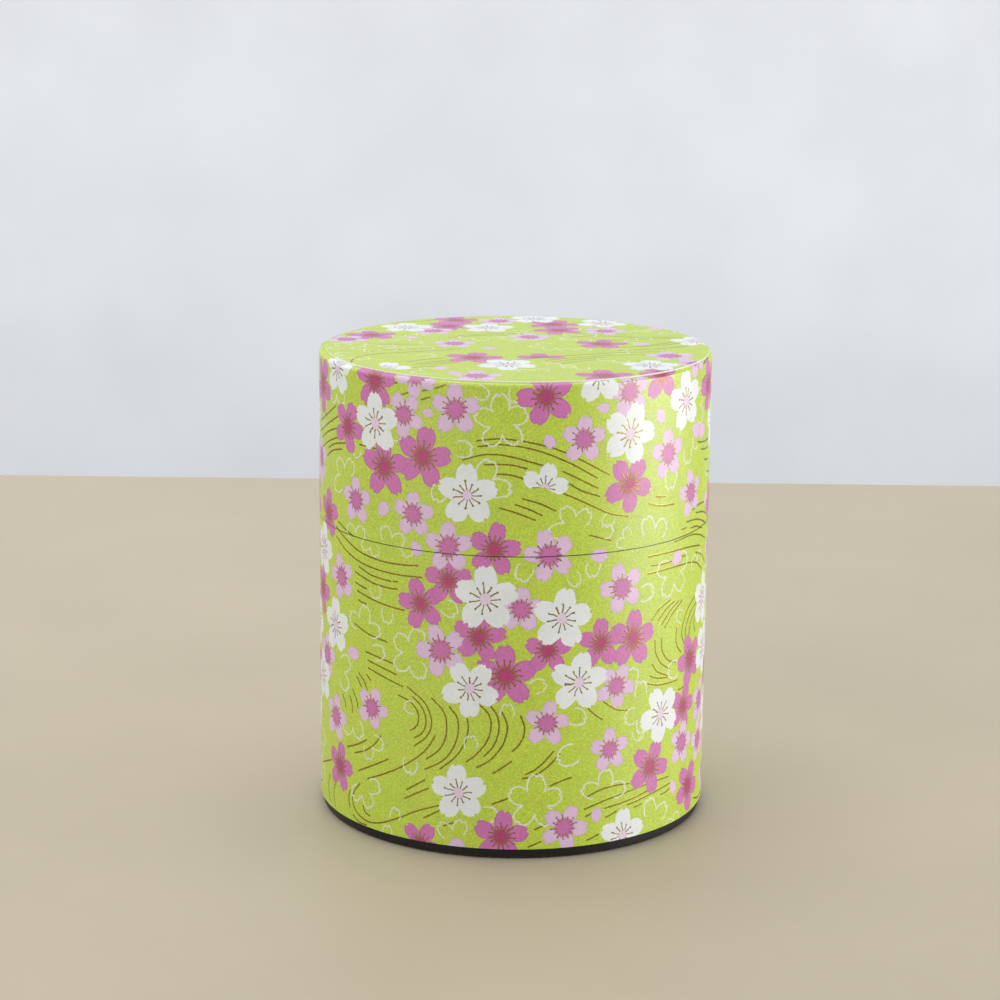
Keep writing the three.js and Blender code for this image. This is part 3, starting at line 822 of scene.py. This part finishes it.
    # The nearest stamen: how far off its line a point is, and how far beyond its end
    spoke = add("Math DIVIDE", add("Math MULTIPLY", turn, number), tau)
    spoke = add("Math ADD", spoke, 0.3)
    which = add("Math FLOORED_MODULO", add("Math FLOOR", spoke), number)
    chance = add("TexWhiteNoise", add("Math ADD", which, code), noise_dimensions="1D")
    chance = add("Math ADD", 0.84, add("Math MULTIPLY", chance, 0.24))
    tips = add("Math MULTIPLY", tips, chance)
    off = add("Math ABSOLUTE", add("Math SUBTRACT", add("Math FRACT", spoke), 0.5))
    off = add("Math MULTIPLY", add("Math MULTIPLY", off, r), add("Math DIVIDE", tau, number))
    beyond = add("Math SUBTRACT", r, tips)
    root = add("Math MULTIPLY_ADD", inner, 0.5, 0.1)
    past = add("Math MAXIMUM", beyond, add("Math SUBTRACT", root, r))
    past = add("Math MAXIMUM", past, 0.0)
    thread = add("VectorMath LENGTH", add("CombineXYZ", off, past))
    thread = add("MapRange", thread, 0.014, 0.026, *DOWN, **SMOOTH)
    dot = add("VectorMath LENGTH", add("CombineXYZ", off, beyond))
    dot = add("MapRange", dot, 0.026, 0.042, *DOWN, **SMOOTH)
    gold = add("Math MULTIPLY", add("Math MAXIMUM", thread, dot), is_flower)

    # The core's ink breaks up into short rays at its edge
    streak = add("TexNoise", turn, 9.0, 2.0, 0.5, noise_dimensions="1D")
    streak = add("Math MULTIPLY", add("Math SUBTRACT", streak, 0.5), 0.22)
    middle = add("MapRange", add("Math ADD", r, streak), inner, outer, *DOWN, **SMOOTH)
    middle = add("Math MULTIPLY", middle, is_flower)
    # The pinks dry darker in a thin rim along each petal's edge
    rim = add("MapRange", edge, -0.17, -0.03, 0.0, 0.2, **SMOOTH)
    rim = add("Math MULTIPLY", rim, is_pink)
    petal = add("VectorMath SCALE", petal, add("Math SUBTRACT", 1.0, rim))
    tint = add("Mix", middle, petal, core, data_type="RGBA")
    laid = add("Mix", cover, under, tint, data_type="RGBA")
    laid = add("Mix", gold, laid, (*colours.gold_ink, 1), data_type="RGBA")
    showing = add("Math MULTIPLY", under_gold, add("Math SUBTRACT", 1.0, cover))
    result = tree.nodes.new("NodeGroupOutput").inputs
    tree.links.new(laid, result[0])
    tree.links.new(add("Math MAXIMUM", showing, gold), result[1])
    return tree


def printed_washi(colours):
    """Washi, screen-printed with flat opaque inks: mulberry paper with long fibres, sealed
    against damp with a thin varnish that gives it a broad soft shine where the light grazes it.
    The gold ink is bronze powder, so it goes from brown to bright with the light, which is why
    it is a metal on the paper."""

    def build(tree):
        add = partial(wire, tree)
        blossoms = blossom_group(colours)
        place = add("TexCoord", pick=3)
        # The tooth of the paper is about 0.3 mm wide, its fibres 0.4 by 2 mm, its clouds 4 mm
        grain = add("TexNoise", place, 3200.0, 3.0, 0.65)
        cloud = add("TexNoise", place, 240.0, 2.0, 0.5)
        stretched = add("Mapping", place, None, (0.3, 0.5, 1.1), (1.0, 1.0, 0.22))
        fibre = add("TexNoise", stretched, 2600.0, 2.0, 0.6)
        # The drawing wavers as a hand does: 3 mm bends with finer ones on them
        wander = add("TexNoise", place, 330.0, 3.0, 0.62, pick=1)
        wander = add("VectorMath SUBTRACT", wander, (0.5, 0.5, 0.5))
        wander = add("VectorMath MULTIPLY", wander, (0.2, 0.2, 0.0))

        ground = (*colours.ground, 1)
        ink = add("Attribute", attribute_name="inked", pick=2)
        # A water line is 0.33 mm wide, with an edge that roughens and fades over 0.1 mm
        rough_edge = add("Math MULTIPLY", add("Math SUBTRACT", grain, 0.5), 0.2)
        gold = None
        for number in range(WATER_SLOTS):
            line = add("Attribute", attribute_name=f"water_{number}", pick=1)
            across = add("SeparateXYZ", line, pick=0)
            along = add("SeparateXYZ", line, pick=1)
            length = add("SeparateXYZ", line, pick=2)
            past = add("Math MAXIMUM", add("Math SUBTRACT", along, length),
                       add("Math MULTIPLY", along, -1.0))
            past = add("Math MAXIMUM", past, 0.0)
            gap = add("VectorMath LENGTH", add("CombineXYZ", across, past))
            gap = add("Math ADD", gap, rough_edge)
            drawn = add("MapRange", gap, 0.12, 0.21, *DOWN, **SMOOTH)
            gold = drawn if gold is None else add("Math MAXIMUM", gold, drawn)
        colour = add("Mix", gold, ground, (*colours.gold_ink, 1), data_type="RGBA")
        for number in reversed(range(BLOSSOM_SLOTS)):
            slot = add("Attribute", attribute_name=f"blossom_{number}", pick=1)
            layer = add("Group", node_tree=blossoms).node
            for socket, value in zip(layer.inputs, (colour, gold, slot, wander)):
                tree.links.new(value, socket)
            colour, gold = layer.outputs[0], layer.outputs[1]

        # The tooth shows through the thin inks most, and through the thick white least
        thin = add("MapRange", add("SeparateColor", colour, pick=2), 0.1, 0.8, 1.3, 0.3)
        tooth = add("Math MULTIPLY", add("Math SUBTRACT", grain, 0.5), thin)
        clouding = add("Math MULTIPLY", add("Math SUBTRACT", cloud, 0.5), 0.16)
        shade = add("Math ADD", add("Math ADD", tooth, clouding), 1.0)
        tint = add("VectorMath SCALE", colour, shade)
        bare = add("Mix", ink, (*colours.cut_paper, 1), tint, data_type="RGBA")
        gold = add("Math MULTIPLY", gold, ink)
        rough = add("MapRange", gold, 0.0, 1.0, 0.41, 0.4)
        height = add("Math ADD", grain, add("Math MULTIPLY", fibre, 0.8))
        height = add("Math ADD", height, add("Math MULTIPLY", gold, 1.3))
        relief = add("Bump", 0.25, 0.00006)
        tree.links.new(height, relief.node.inputs["Height"])
        return {"Base Color": bare, "Metallic": gold, "Roughness": rough, "Normal": relief}

    return finish_material("screen_printed_washi", build, Specular_IOR_Level=1.0, IOR=1.6)


def brushed(name, base, polish, lines, direction, wear):
    """A metal with fine lines. Direction 'round' runs them round the axis, at every height and,
    on flat faces, at every radius; 'along' runs them up the wall."""
    wall_radius = 0.0385  # metres, which turns an angle into a way round the wall

    def build(tree):
        add = partial(wire, tree)
        place = add("TexCoord", pick=3)
        x = add("SeparateXYZ", place, pick=0)
        y = add("SeparateXYZ", place, pick=1)
        z = add("SeparateXYZ", place, pick=2)
        across = add("Math ADD", add("VectorMath LENGTH", add("CombineXYZ", x, y)), z)
        if direction == "along":
            across = add("Math MULTIPLY", add("Math ARCTAN2", y, x), wall_radius)
        track = add("TexNoise", across, lines, 3.0, 0.6, noise_dimensions="1D")
        haze = add("TexNoise", place, 90.0, 3.0, 0.55)
        speck = add("TexNoise", place, 1400.0, 2.0, 0.6)
        dull = add("MapRange", speck, 0.62, 0.74, 0.0, wear)
        hazed = add("Math MULTIPLY", add("Math SUBTRACT", haze, 0.5), 0.22)
        tracked = add("Math MULTIPLY", add("Math SUBTRACT", track, 0.5), 0.16)
        rough = add("Math ADD", add("Math ADD", polish, hazed), tracked)
        rough = add("Math ADD", rough, add("Math MULTIPLY", dull, 0.3))
        # Brightness stays about 1, and drops by a quarter in the dull spots
        bright = add("Math ADD", 0.94, add("Math MULTIPLY", haze, 0.12))
        bright = add("Math SUBTRACT", bright, add("Math MULTIPLY", dull, 0.25))
        colour = add("VectorMath SCALE", (*base,), bright)
        relief = add("Bump", 0.22, 0.00002)
        tree.links.new(track, relief.node.inputs["Height"])
        return {"Base Color": colour, "Roughness": rough, "Normal": relief}

    return finish_material(name, build, Metallic=1.0)


def tinned_steel(colours, direction="round"):
    """Tinplate, bright-rolled: a thin coat of tin on steel. It mirrors softly, with faint rolling
    lines about 0.1 mm apart, drawn at 0.25 mm so that they show, and small dull spots."""
    return brushed(f"rolled_tinplate_{direction}", colours.tin, 0.27, 4000.0, direction, 0.5)


def turned_aluminium(colours):
    """Aluminium, turned on a lathe: pale metal with fine grooves, every 0.3 mm, round the axis."""
    return brushed("turned_aluminium", colours.aluminium, 0.3, 3300.0, "round", 0.3)


def black_lacquer(colours):
    """Black lacquer, stoved on tinplate: a smooth, slightly waved film about 20 microns deep
    that is satin rather than glossy, with brown-grey rubbing on the ring it stands on."""

    def build(tree):
        add = partial(wire, tree)
        place = add("TexCoord", pick=3)
        z = add("SeparateXYZ", place, pick=2)
        wave = add("TexNoise", place, 700.0, 2.0, 0.5)
        scuff = add("TexNoise", place, 1600.0, 4.0, 0.7)
        low = add("MapRange", z, 0.0001, 0.0006, 1.0, 0.0)
        rub = add("Math MULTIPLY", low, add("MapRange", scuff, 0.45, 0.6, 0.0, 0.8))
        colour = add("Mix", rub, (*colours.lacquer, 1), linear("#5B544C"), data_type="RGBA")
        rough = add("Math ADD", 0.36, add("Math MULTIPLY", scuff, 0.14))
        relief = add("Bump", 0.2, 0.00005)
        tree.links.new(wave, relief.node.inputs["Height"])
        return {"Base Color": colour, "Roughness": rough, "Normal": relief}

    return finish_material("stoved_black_lacquer", build, Specular_IOR_Level=0.35)


def plain_surface(name, paint, roughness):
    """The floor's and the wall's paint: matt, with a very slight unevenness 60 mm wide."""

    def build(tree):
        add = partial(wire, tree)
        cloud = add("TexNoise", add("TexCoord", pick=3), 16.0, 3.0, 0.5)
        amount = add("MapRange", cloud, 0.3, 0.7, 0.97, 1.03)
        return {"Base Color": add("VectorMath SCALE", tuple(paint), amount)}

    return finish_material(name, build, Roughness=roughness)


# ---------------------------------------------------------------------------------------------
# Pieces
# ---------------------------------------------------------------------------------------------

class Measures:
    """The sizes in millimetres, with those that follow from them."""

    def __init__(self, sizes):
        self.tin = millimetres(sizes.tin)
        self.paper = millimetres(sizes.paper)
        self.disc_paper = millimetres(sizes.disc_paper)
        self.radius = millimetres(sizes.outer_radius)
        self.body_top = millimetres(sizes.body_height)
        self.lid_bottom = millimetres(sizes.lid_bottom)
        self.top = millimetres(sizes.total_height)
        self.lap = millimetres(sizes.lap_width)
        self.lap_rise = millimetres(sizes.lap_rise)
        self.glue = 0.05  # stands between pieces that are pasted or seamed together
        self.slide = 0.1  # stands between pieces that slide on each other
        self.knob_hole = 1.6
        neck_rise, plug_depth = 26, 9
        self.barrel = self.radius - self.paper - self.glue
        self.neck = self.barrel - self.tin - self.slide
        self.plug = self.neck - 2 * self.tin - self.slide
        self.neck_top = self.body_top + neck_rise
        self.lip = self.neck_top + self.glue
        self.pan_floor = self.lip - plug_depth
        self.turn_in_top = self.top - self.disc_paper - self.glue
        self.shoulder_top = self.turn_in_top - self.paper - self.glue


def settings():
    """The scene's sizes in millimetres and its colours."""
    scene = bpy.context.scene
    return Measures(scene.caddy_sizes), scene.caddy_colours


def material_named(name, make, *arguments):
    """The material of that name, made on first use."""
    return bpy.data.materials.get(name) or make(*arguments)


def washi(colours):
    """The material that the three papers share."""
    return material_named("screen_printed_washi", printed_washi, colours)


def lapped_angles(radius, columns, lap):
    """Angles once round the back-joined paper, closer together at both ends of its lap."""
    from_cut, past_lap = np.array([0.02, 0.09]), np.array([0.0, 0.4, 0.8, 1.2])
    even = np.arange(columns) / columns * tau - pi
    cut = from_cut / radius - pi
    soft = pi - (lap + past_lap) / radius
    return np.unique(np.concatenate([even, cut, soft]))


def side_paper(name, skin, m, measure_from):
    """A paper glued round a barrel. Its section is carried round the axis, standing proud over the
    lap at the back, where the outer end covers the inner one and stops in a cut edge."""
    row_spacing, columns, slope, cut_edge = 0.95, 288, 1.2, 0.05
    outer_rows = with_rows(np.vstack([np.atleast_2d(p) for p in skin]), row_spacing, closed=False)
    back = sheet_section(outer_rows, m.paper)[len(outer_rows):]
    is_straight = len(skin) == 2
    behind = back[:1] if is_straight else back[::4]
    section = np.vstack([outer_rows, behind, back[-1:]])
    angles = lapped_angles(m.radius, columns, m.lap)
    grid, rows, cols = turned_grid(section, angles, True)
    under = (pi - angles) * m.radius
    proud = m.lap_rise * np.clip((m.lap + slope - under) / slope, 0, 1)
    proud[angles < -pi + cut_edge / m.radius] = m.lap_rise
    on_skin = (np.arange(len(section)) < len(outer_rows))[:, None]
    grid[..., :2] *= (1 + on_skin * proud / np.maximum(section[:, :1], 1))[..., None]
    along = row_lengths(section, True)
    unrolled = np.append(angles, pi) * m.radius
    corners = np.stack([unrolled[cols], measure_from + along[rows]], -1).reshape(-1, 4, 2)
    # The ink soaks into the first cut edge, which is the body paper's at the seam
    inked = np.broadcast_to(on_skin, rows.shape[:2]).ravel()
    uv = two_strip_map(np.append(angles, pi), along, len(outer_rows) - 1, rows, cols)
    piece, keep = lay_mesh(name, grid, rows, cols, uv)
    shifts = tuple(PRINT_REPEAT * n for n in (-1, 0, 1))
    blossoms = all_blossoms(WHITE, PALE, DEEP, LOOSE, OUTLINED)
    print_on(piece, keep, corners, inked, blossoms, WATER, shifts)
    return piece


def two_strip_map(angles, along, last_skin_row, rows, cols):
    """A map that cuts the printed face into a left and a right half, one above the other, each as
    long as the sheet is wide, and puts the back of the paper in a thin strip at the top."""
    strip, left_start, right_start = 0.475, 0.002, 0.485
    back_start, back_height = 0.968, 0.03
    skin = rows[..., :1] < last_skin_row
    half = cols[..., :1] >= np.abs(angles).argmin()
    round_share = (angles[cols] + pi) / tau
    across = np.where(skin, np.clip(round_share * 2 - half, 0, 1), round_share)
    skin_end = along[last_skin_row]
    up_skin = along[rows] / skin_end * strip + np.where(half, right_start, left_start)
    back = (along[rows] - skin_end) / (along[-1] - skin_end)
    up = np.where(skin, up_skin, back_start + back_height * back)
    return np.stack([np.broadcast_to(across, up.shape), up], -1)


def round_paper(name, m, centre_x):
    """The round paper on the lid: a flat disc whose thin edge is eased. Its print is laid out from
    the disc's own middle."""
    margin, face_rows, columns = 1.0, 40, 240
    map_middle, map_half, edge_start, edge_height = 0.48, 0.475, 0.962, 0.036
    r, low, high = m.radius - margin, m.turn_in_top + 0.01, m.top
    under = [(0, low), (r - 6, low)]
    rim = [(r - 0.03, low), (r, low + 0.05), (r, high - 0.07), (r - 0.06, high)]
    face = np.stack([np.linspace(r - 1.0, 0, face_rows), np.full(face_rows, high)], 1)
    section = np.vstack([under, rim, face])
    top_row = len(under) + len(rim) - 1
    angles = np.arange(columns) / columns * tau - pi
    grid, rows, cols = turned_grid(section, angles, False)
    flat = grid[rows, cols % columns, :2]
    corners = flat.reshape(-1, 4, 2)
    on_top = np.arange(len(section) - 1) >= top_row
    inked = np.broadcast_to(on_top[:, None], rows.shape[:2]).ravel()
    planar = map_middle + flat / r * map_half
    along = row_lengths(section, False)
    up = edge_start + edge_height * along[rows] / along[top_row]
    strip = np.stack([cols / columns, up], -1)
    uv = np.where(on_top[:, None, None, None], planar, strip)
    grid[..., 0] += centre_x
    piece, keep = lay_mesh(name, grid, rows, cols, uv)
    blossoms = all_blossoms(TOP_WHITE, TOP_PALE, TOP_DEEP, TOP_LOOSE, TOP_OUTLINED)
    print_on(piece, keep, corners, inked, blossoms, TOP_WATER)
    return piece


class CADDY_OT_side_papers(bpy.types.Operator):
    """Glue the printed papers round the body and the lid"""

    bl_idname = "caddy.side_papers"
    bl_label = "Side papers"

    def execute(self, context):
        m, colours = settings()
        bend, turned_in = 0.75, 3.9
        low = millimetres(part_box("body_washi_wrap")[0].z)
        straight = [(m.radius, low), (m.radius, m.body_top)]
        body = side_paper("body_paper", straight, m, low)
        give(body, "canister", "body_washi_wrap", washi(colours))
        folded = [
            (m.radius, m.lid_bottom),
            *quarter_round(m.radius - bend, m.turn_in_top - bend, bend, 0),
            (m.radius - turned_in, m.turn_in_top),
        ]
        lid = side_paper("lid_paper", folded, m, m.lid_bottom)
        give(lid, "outer_lid", "lid_washi_wrap", washi(colours))
        return {"FINISHED"}


class CADDY_OT_top_paper(bpy.types.Operator):
    """Glue the round printed paper on the lid's top"""

    bl_idname = "caddy.top_paper"
    bl_label = "Top paper"

    def execute(self, context):
        m, colours = settings()
        low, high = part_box("lid_washi_disc")
        paper = round_paper("top_paper", m, millimetres(low.x + high.x) / 2)
        give(paper, "outer_lid", "lid_washi_disc", washi(colours))
        return {"FINISHED"}


class CADDY_OT_canister_tins(bpy.types.Operator):
    """Form the body's barrel, its lacquered bottom seam and the neck ring"""

    bl_idname = "caddy.canister_tins"
    bl_label = "Canister tins"

    def execute(self, context):
        m, colours = settings()
        inset, top, bend, gap = 0.5, 2.5, 0.5, 0.1
        panel, flat_middle, ring_edge, ring, ring_slope, ring_rise = 2.6, 8, 6.2, 2.8, 0.8, 0.25
        band = m.radius - inset
        foot = band - m.tin - gap
        wall = foot - 2 * m.tin - gap
        section = eased(sheet_section([
            (0, panel), (flat_middle, panel),
            *pressed_ring(wall - ring_edge, ring, ring_slope, panel, ring_rise),
            (wall, panel), (wall, 0), *quarter_round(band - bend, bend, bend, 3, 4), (band, top),
        ], m.tin), 0.12, closed=False)
        seam = turned_piece("bottom_seam", with_rows(section, 4, closed=False), closed=False)
        lacquer = material_named("stoved_black_lacquer", black_lacquer, colours)
        give(seam, "canister", "bottom_plate", lacquer)

        barrel_foot, start, flare = 0.6, top + gap, 0.8
        section = with_rows(eased(sheet_section([
            (foot, barrel_foot), (foot, start), (m.barrel, start + flare), (m.barrel, m.body_top),
        ], m.tin), 0.1), 4)
        tin = material_named("rolled_tinplate_along", tinned_steel, colours, "along")
        give(turned_piece("body_shell", section), "canister", "body_barrel", tin)

        hem, inside = m.plug + m.slide, m.neck - m.tin
        neck_foot, hem_end = m.body_top - 15, m.neck_top - 2
        section = with_rows(eased([
            (m.neck, neck_foot),
            *quarter_round(m.neck - m.tin, m.neck_top - m.tin, m.tin, 0, 5),
            *quarter_round(hem + m.tin, m.neck_top - m.tin, m.tin, 1, 5),
            (hem, hem_end), (inside, hem_end - m.tin), (inside, neck_foot),
        ], 0.06), 3)
        give(turned_piece("neck_collar", section), "canister", "neck_ring", tin)
        return {"FINISHED"}


class CADDY_OT_inner_lid(bpy.types.Operator):
    """Press the inner lid and turn its knob and washer"""

    bl_idname = "caddy.inner_lid"
    bl_label = "Inner lid"

    def execute(self, context):
        m, colours = settings()
        panel_rise, channel, bend = 0.8, 8, 1.2
        ring_edge, ring, ring_slope, ring_rise = 9.8, 2.2, 0.6, 0.25
        under, panel = m.pan_floor + panel_rise, m.plug - channel
        section = with_rows(eased(sheet_section([
            (m.knob_hole, under),
            *pressed_ring(panel - ring_edge, ring, ring_slope, under, ring_rise),
            (panel - 1.5, under), (panel, m.pan_floor),
            *quarter_round(m.plug - bend, m.pan_floor + bend, bend, 3, 6),
            (m.plug, m.lip), (m.neck - m.slide, m.lip),
        ], m.tin), 0.1), 2.5)
        tin = material_named("rolled_tinplate_round", tinned_steel, colours)
        give(turned_piece("plug_lid", section), "inner_lid", "inner_lid_pan", tin)

        metal = material_named("turned_aluminium", turned_aluminium, colours)
        height, head, head_height = 7.2, 8, 3
        flange, flange_height, waist = 5.2, 0.8, 4.2
        tenon, peened, washer_height = 1.5, 2.6, 0.5
        foot = under + m.tin + m.glue
        top, neck, waist_start = foot + height, foot + height - head_height, foot + 1.3
        throat = cubic((waist, waist_start), (waist, neck - 1), (4.8, neck - 0.3),
                       (head, neck + 0.5))
        dome = cubic((head, top - 1.5), (head, top - 0.4), (4.8, top), (0, top))
        peen = under - m.glue * 2 - washer_height
        low = eased([
            (0, peen - 0.7), (1.95, peen - 0.7), (peened, peen), (tenon, peen), (tenon, foot),
            (flange, foot), (flange, foot + flange_height), (waist, waist_start),
        ], 0.15, closed=False)
        knob = turned_piece("lid_knob", np.vstack([low, throat[1:], dome]), 96, closed=False)
        give(knob, "inner_lid", "inner_lid_knob", metal)

        hole, edge, washer_top = m.knob_hole, 4, under - m.glue
        washer_foot = washer_top - washer_height
        section = eased([
            (hole, washer_foot), (edge, washer_foot), (edge, washer_top), (hole, washer_top),
        ], 0.1)
        washer = turned_piece("knob_rivet_washer", section, 96)
        give(washer, "inner_lid", "knob_washer", metal)
        return {"FINISHED"}


class CADDY_OT_outer_lid_tins(bpy.types.Operator):
    """Form the outer lid's barrel and press the plate inside its top"""

    bl_idname = "caddy.outer_lid_tins"
    bl_label = "Outer lid tins"

    def execute(self, context):
        m, colours = settings()
        bend, turned_in = 0.5, 4.2
        shoulder = m.shoulder_top
        section = with_rows(eased(sheet_section([
            (m.barrel, m.lid_bottom),
            *quarter_round(m.barrel - bend, shoulder - bend, bend, 0, 5),
            (m.barrel - turned_in, shoulder),
        ], m.tin), 0.06), 3)
        tin = material_named("rolled_tinplate_along", tinned_steel, colours, "along")
        give(turned_piece("lid_shell", section), "outer_lid", "lid_barrel", tin)

        skirt, plate_bend, step_in, slope = 2.2, 0.6, 4.6, 0.6
        rim = m.barrel - m.tin - m.slide
        ledge = shoulder - m.tin - m.glue
        step = m.barrel - step_in
        section = with_rows(eased(sheet_section([
            (rim, ledge - skirt),
            *quarter_round(rim - plate_bend, ledge - plate_bend, plate_bend, 0, 5),
            (step, ledge), (step - slope, m.turn_in_top), (0, m.turn_in_top),
        ], m.tin), 0.08, closed=False), 3, closed=False)
        plate = turned_piece("lid_plate", close_on_axis(section), closed=False)
        tin = material_named("rolled_tinplate_round", tinned_steel, colours)
        give(plate, "outer_lid", "lid_top_plate", tin)
        return {"FINISHED"}


def close_on_axis(section):
    """Turns an outline that reaches the axis half way along into one that starts and ends there."""
    turn = np.flatnonzero(section[:, 0] < TOUCHING)
    return np.vstack([section[turn[-1]:], section[:turn[0] + 1]])


class CADDY_OT_stage(bpy.types.Operator):
    """Lay the floor and the wall, and set the camera and the lights"""

    bl_idname = "caddy.stage"
    bl_label = "Stage"

    def execute(self, context):
        _, colours = settings()
        # The floor is a table top, which ends behind the caddy and in front of the wall
        half, near, far, wall, foot, top = 3, -2.2, 0.296, 0.9, -1.2, 2.2
        floor_corners = [(-half, near, 0), (half, near, 0), (half, far, 0), (-half, far, 0)]
        wall_corners = [
            (-half, wall, foot), (half, wall, foot), (half, wall, top), (-half, wall, top),
        ]
        for name, corners, colour in (
            ("floor", floor_corners, colours.floor), ("wall", wall_corners, colours.wall),
        ):
            mesh = bpy.data.meshes.new(name)
            mesh.from_pydata(corners, [], [(0, 1, 2, 3)])
            plane = bpy.data.objects.new(name, mesh)
            context.scene.collection.objects.link(plane)
            mesh.materials.append(plain_surface(f"{name}_paint", colour, 0.55))

        lens = bpy.data.cameras.new("camera")
        lens.lens, lens.sensor_width = 100, 36
        lens.clip_start = 0.01
        camera = bpy.data.objects.new("camera", lens)
        turned = Euler([radians(angle) for angle in (77.0183, -0.5478, 0.4217)])
        camera.matrix_world = Matrix.LocRotScale((0, -0.54454, 0.18760), turned, None)
        context.scene.collection.objects.link(camera)
        context.scene.camera = camera

        # Each light is a rectangle: its place, the point it faces, width, height and power
        for name, place, aim, wide, tall, power in (
            ("window", (0.9, -0.1, 0.08), (0, 0, 0.05), 0.8, 0.15, 4.6),
            ("ceiling", (-0.1, 0.1, 1.5), (0, 0, 0), 1.6, 1.6, 5.0),
            ("reflector", (-0.9, -0.7, 0.5), (0, 0, 0.05), 0.9, 0.9, 3.1),
            ("left_fill", (-0.8, 0.5, 0.6), (-0.15, 0, 0), 0.8, 0.8, 2.0),
            ("wall_wash", (0, 0.35, 1.6), (0, 0.9, 0.6), 1.2, 1.2, 4.5),
        ):
            light = bpy.data.lights.new(name, "AREA")
            light.shape, light.energy = "RECTANGLE", power
            light.size, light.size_y = wide, tall
            lamp = bpy.data.objects.new(name, light)
            lamp.location = place
            facing = Vector(aim) - Vector(place)
            lamp.rotation_euler = facing.to_track_quat("-Z", "Y").to_euler()
            context.scene.collection.objects.link(lamp)
        world = bpy.data.worlds.new("soft_room")
        world.use_nodes = True
        sky = world.node_tree.nodes["Background"].inputs
        sky["Color"].default_value, sky["Strength"].default_value = linear("#F2F4F7"), 0.7
        context.scene.world = world
        context.scene.view_settings.view_transform = "Standard"
        return {"FINISHED"}


class CADDY_PT_panel(bpy.types.Panel):
    """The caddy's sizes, colours and pieces"""

    bl_idname = "CADDY_PT_panel"
    bl_label = "Tea caddy"
    bl_space_type = "VIEW_3D"
    bl_region_type = "UI"
    bl_category = "Tea caddy"

    def draw(self, context):
        for group in (context.scene.caddy_sizes, context.scene.caddy_colours):
            box = self.layout.box()
            for name in group.__annotations__:
                box.prop(group, name)
        for operator in OPERATORS:
            self.layout.operator(operator.bl_idname)


OPERATORS = (
    CADDY_OT_stage, CADDY_OT_canister_tins, CADDY_OT_side_papers, CADDY_OT_inner_lid,
    CADDY_OT_outer_lid_tins, CADDY_OT_top_paper,
)
CLASSES = (CaddySizes, CaddyColours, *OPERATORS, CADDY_PT_panel)


def register():
    """Registers the classes and puts their settings on the scene."""
    for each in CLASSES:
        bpy.utils.register_class(each)
    bpy.types.Scene.caddy_sizes = bpy.props.PointerProperty(type=CaddySizes)
    bpy.types.Scene.caddy_colours = bpy.props.PointerProperty(type=CaddyColours)


def unregister():
    """Takes the settings off the scene and unregisters the classes."""
    del bpy.types.Scene.caddy_colours
    del bpy.types.Scene.caddy_sizes
    for each in reversed(CLASSES):
        bpy.utils.unregister_class(each)


def main():
    """Builds the stage and every piece."""
    register()
    bpy.ops.caddy.stage()
    bpy.ops.caddy.canister_tins()
    bpy.ops.caddy.side_papers()
    bpy.ops.caddy.inner_lid()
    bpy.ops.caddy.outer_lid_tins()
    bpy.ops.caddy.top_paper()


if __name__ == "__main__":
    main()
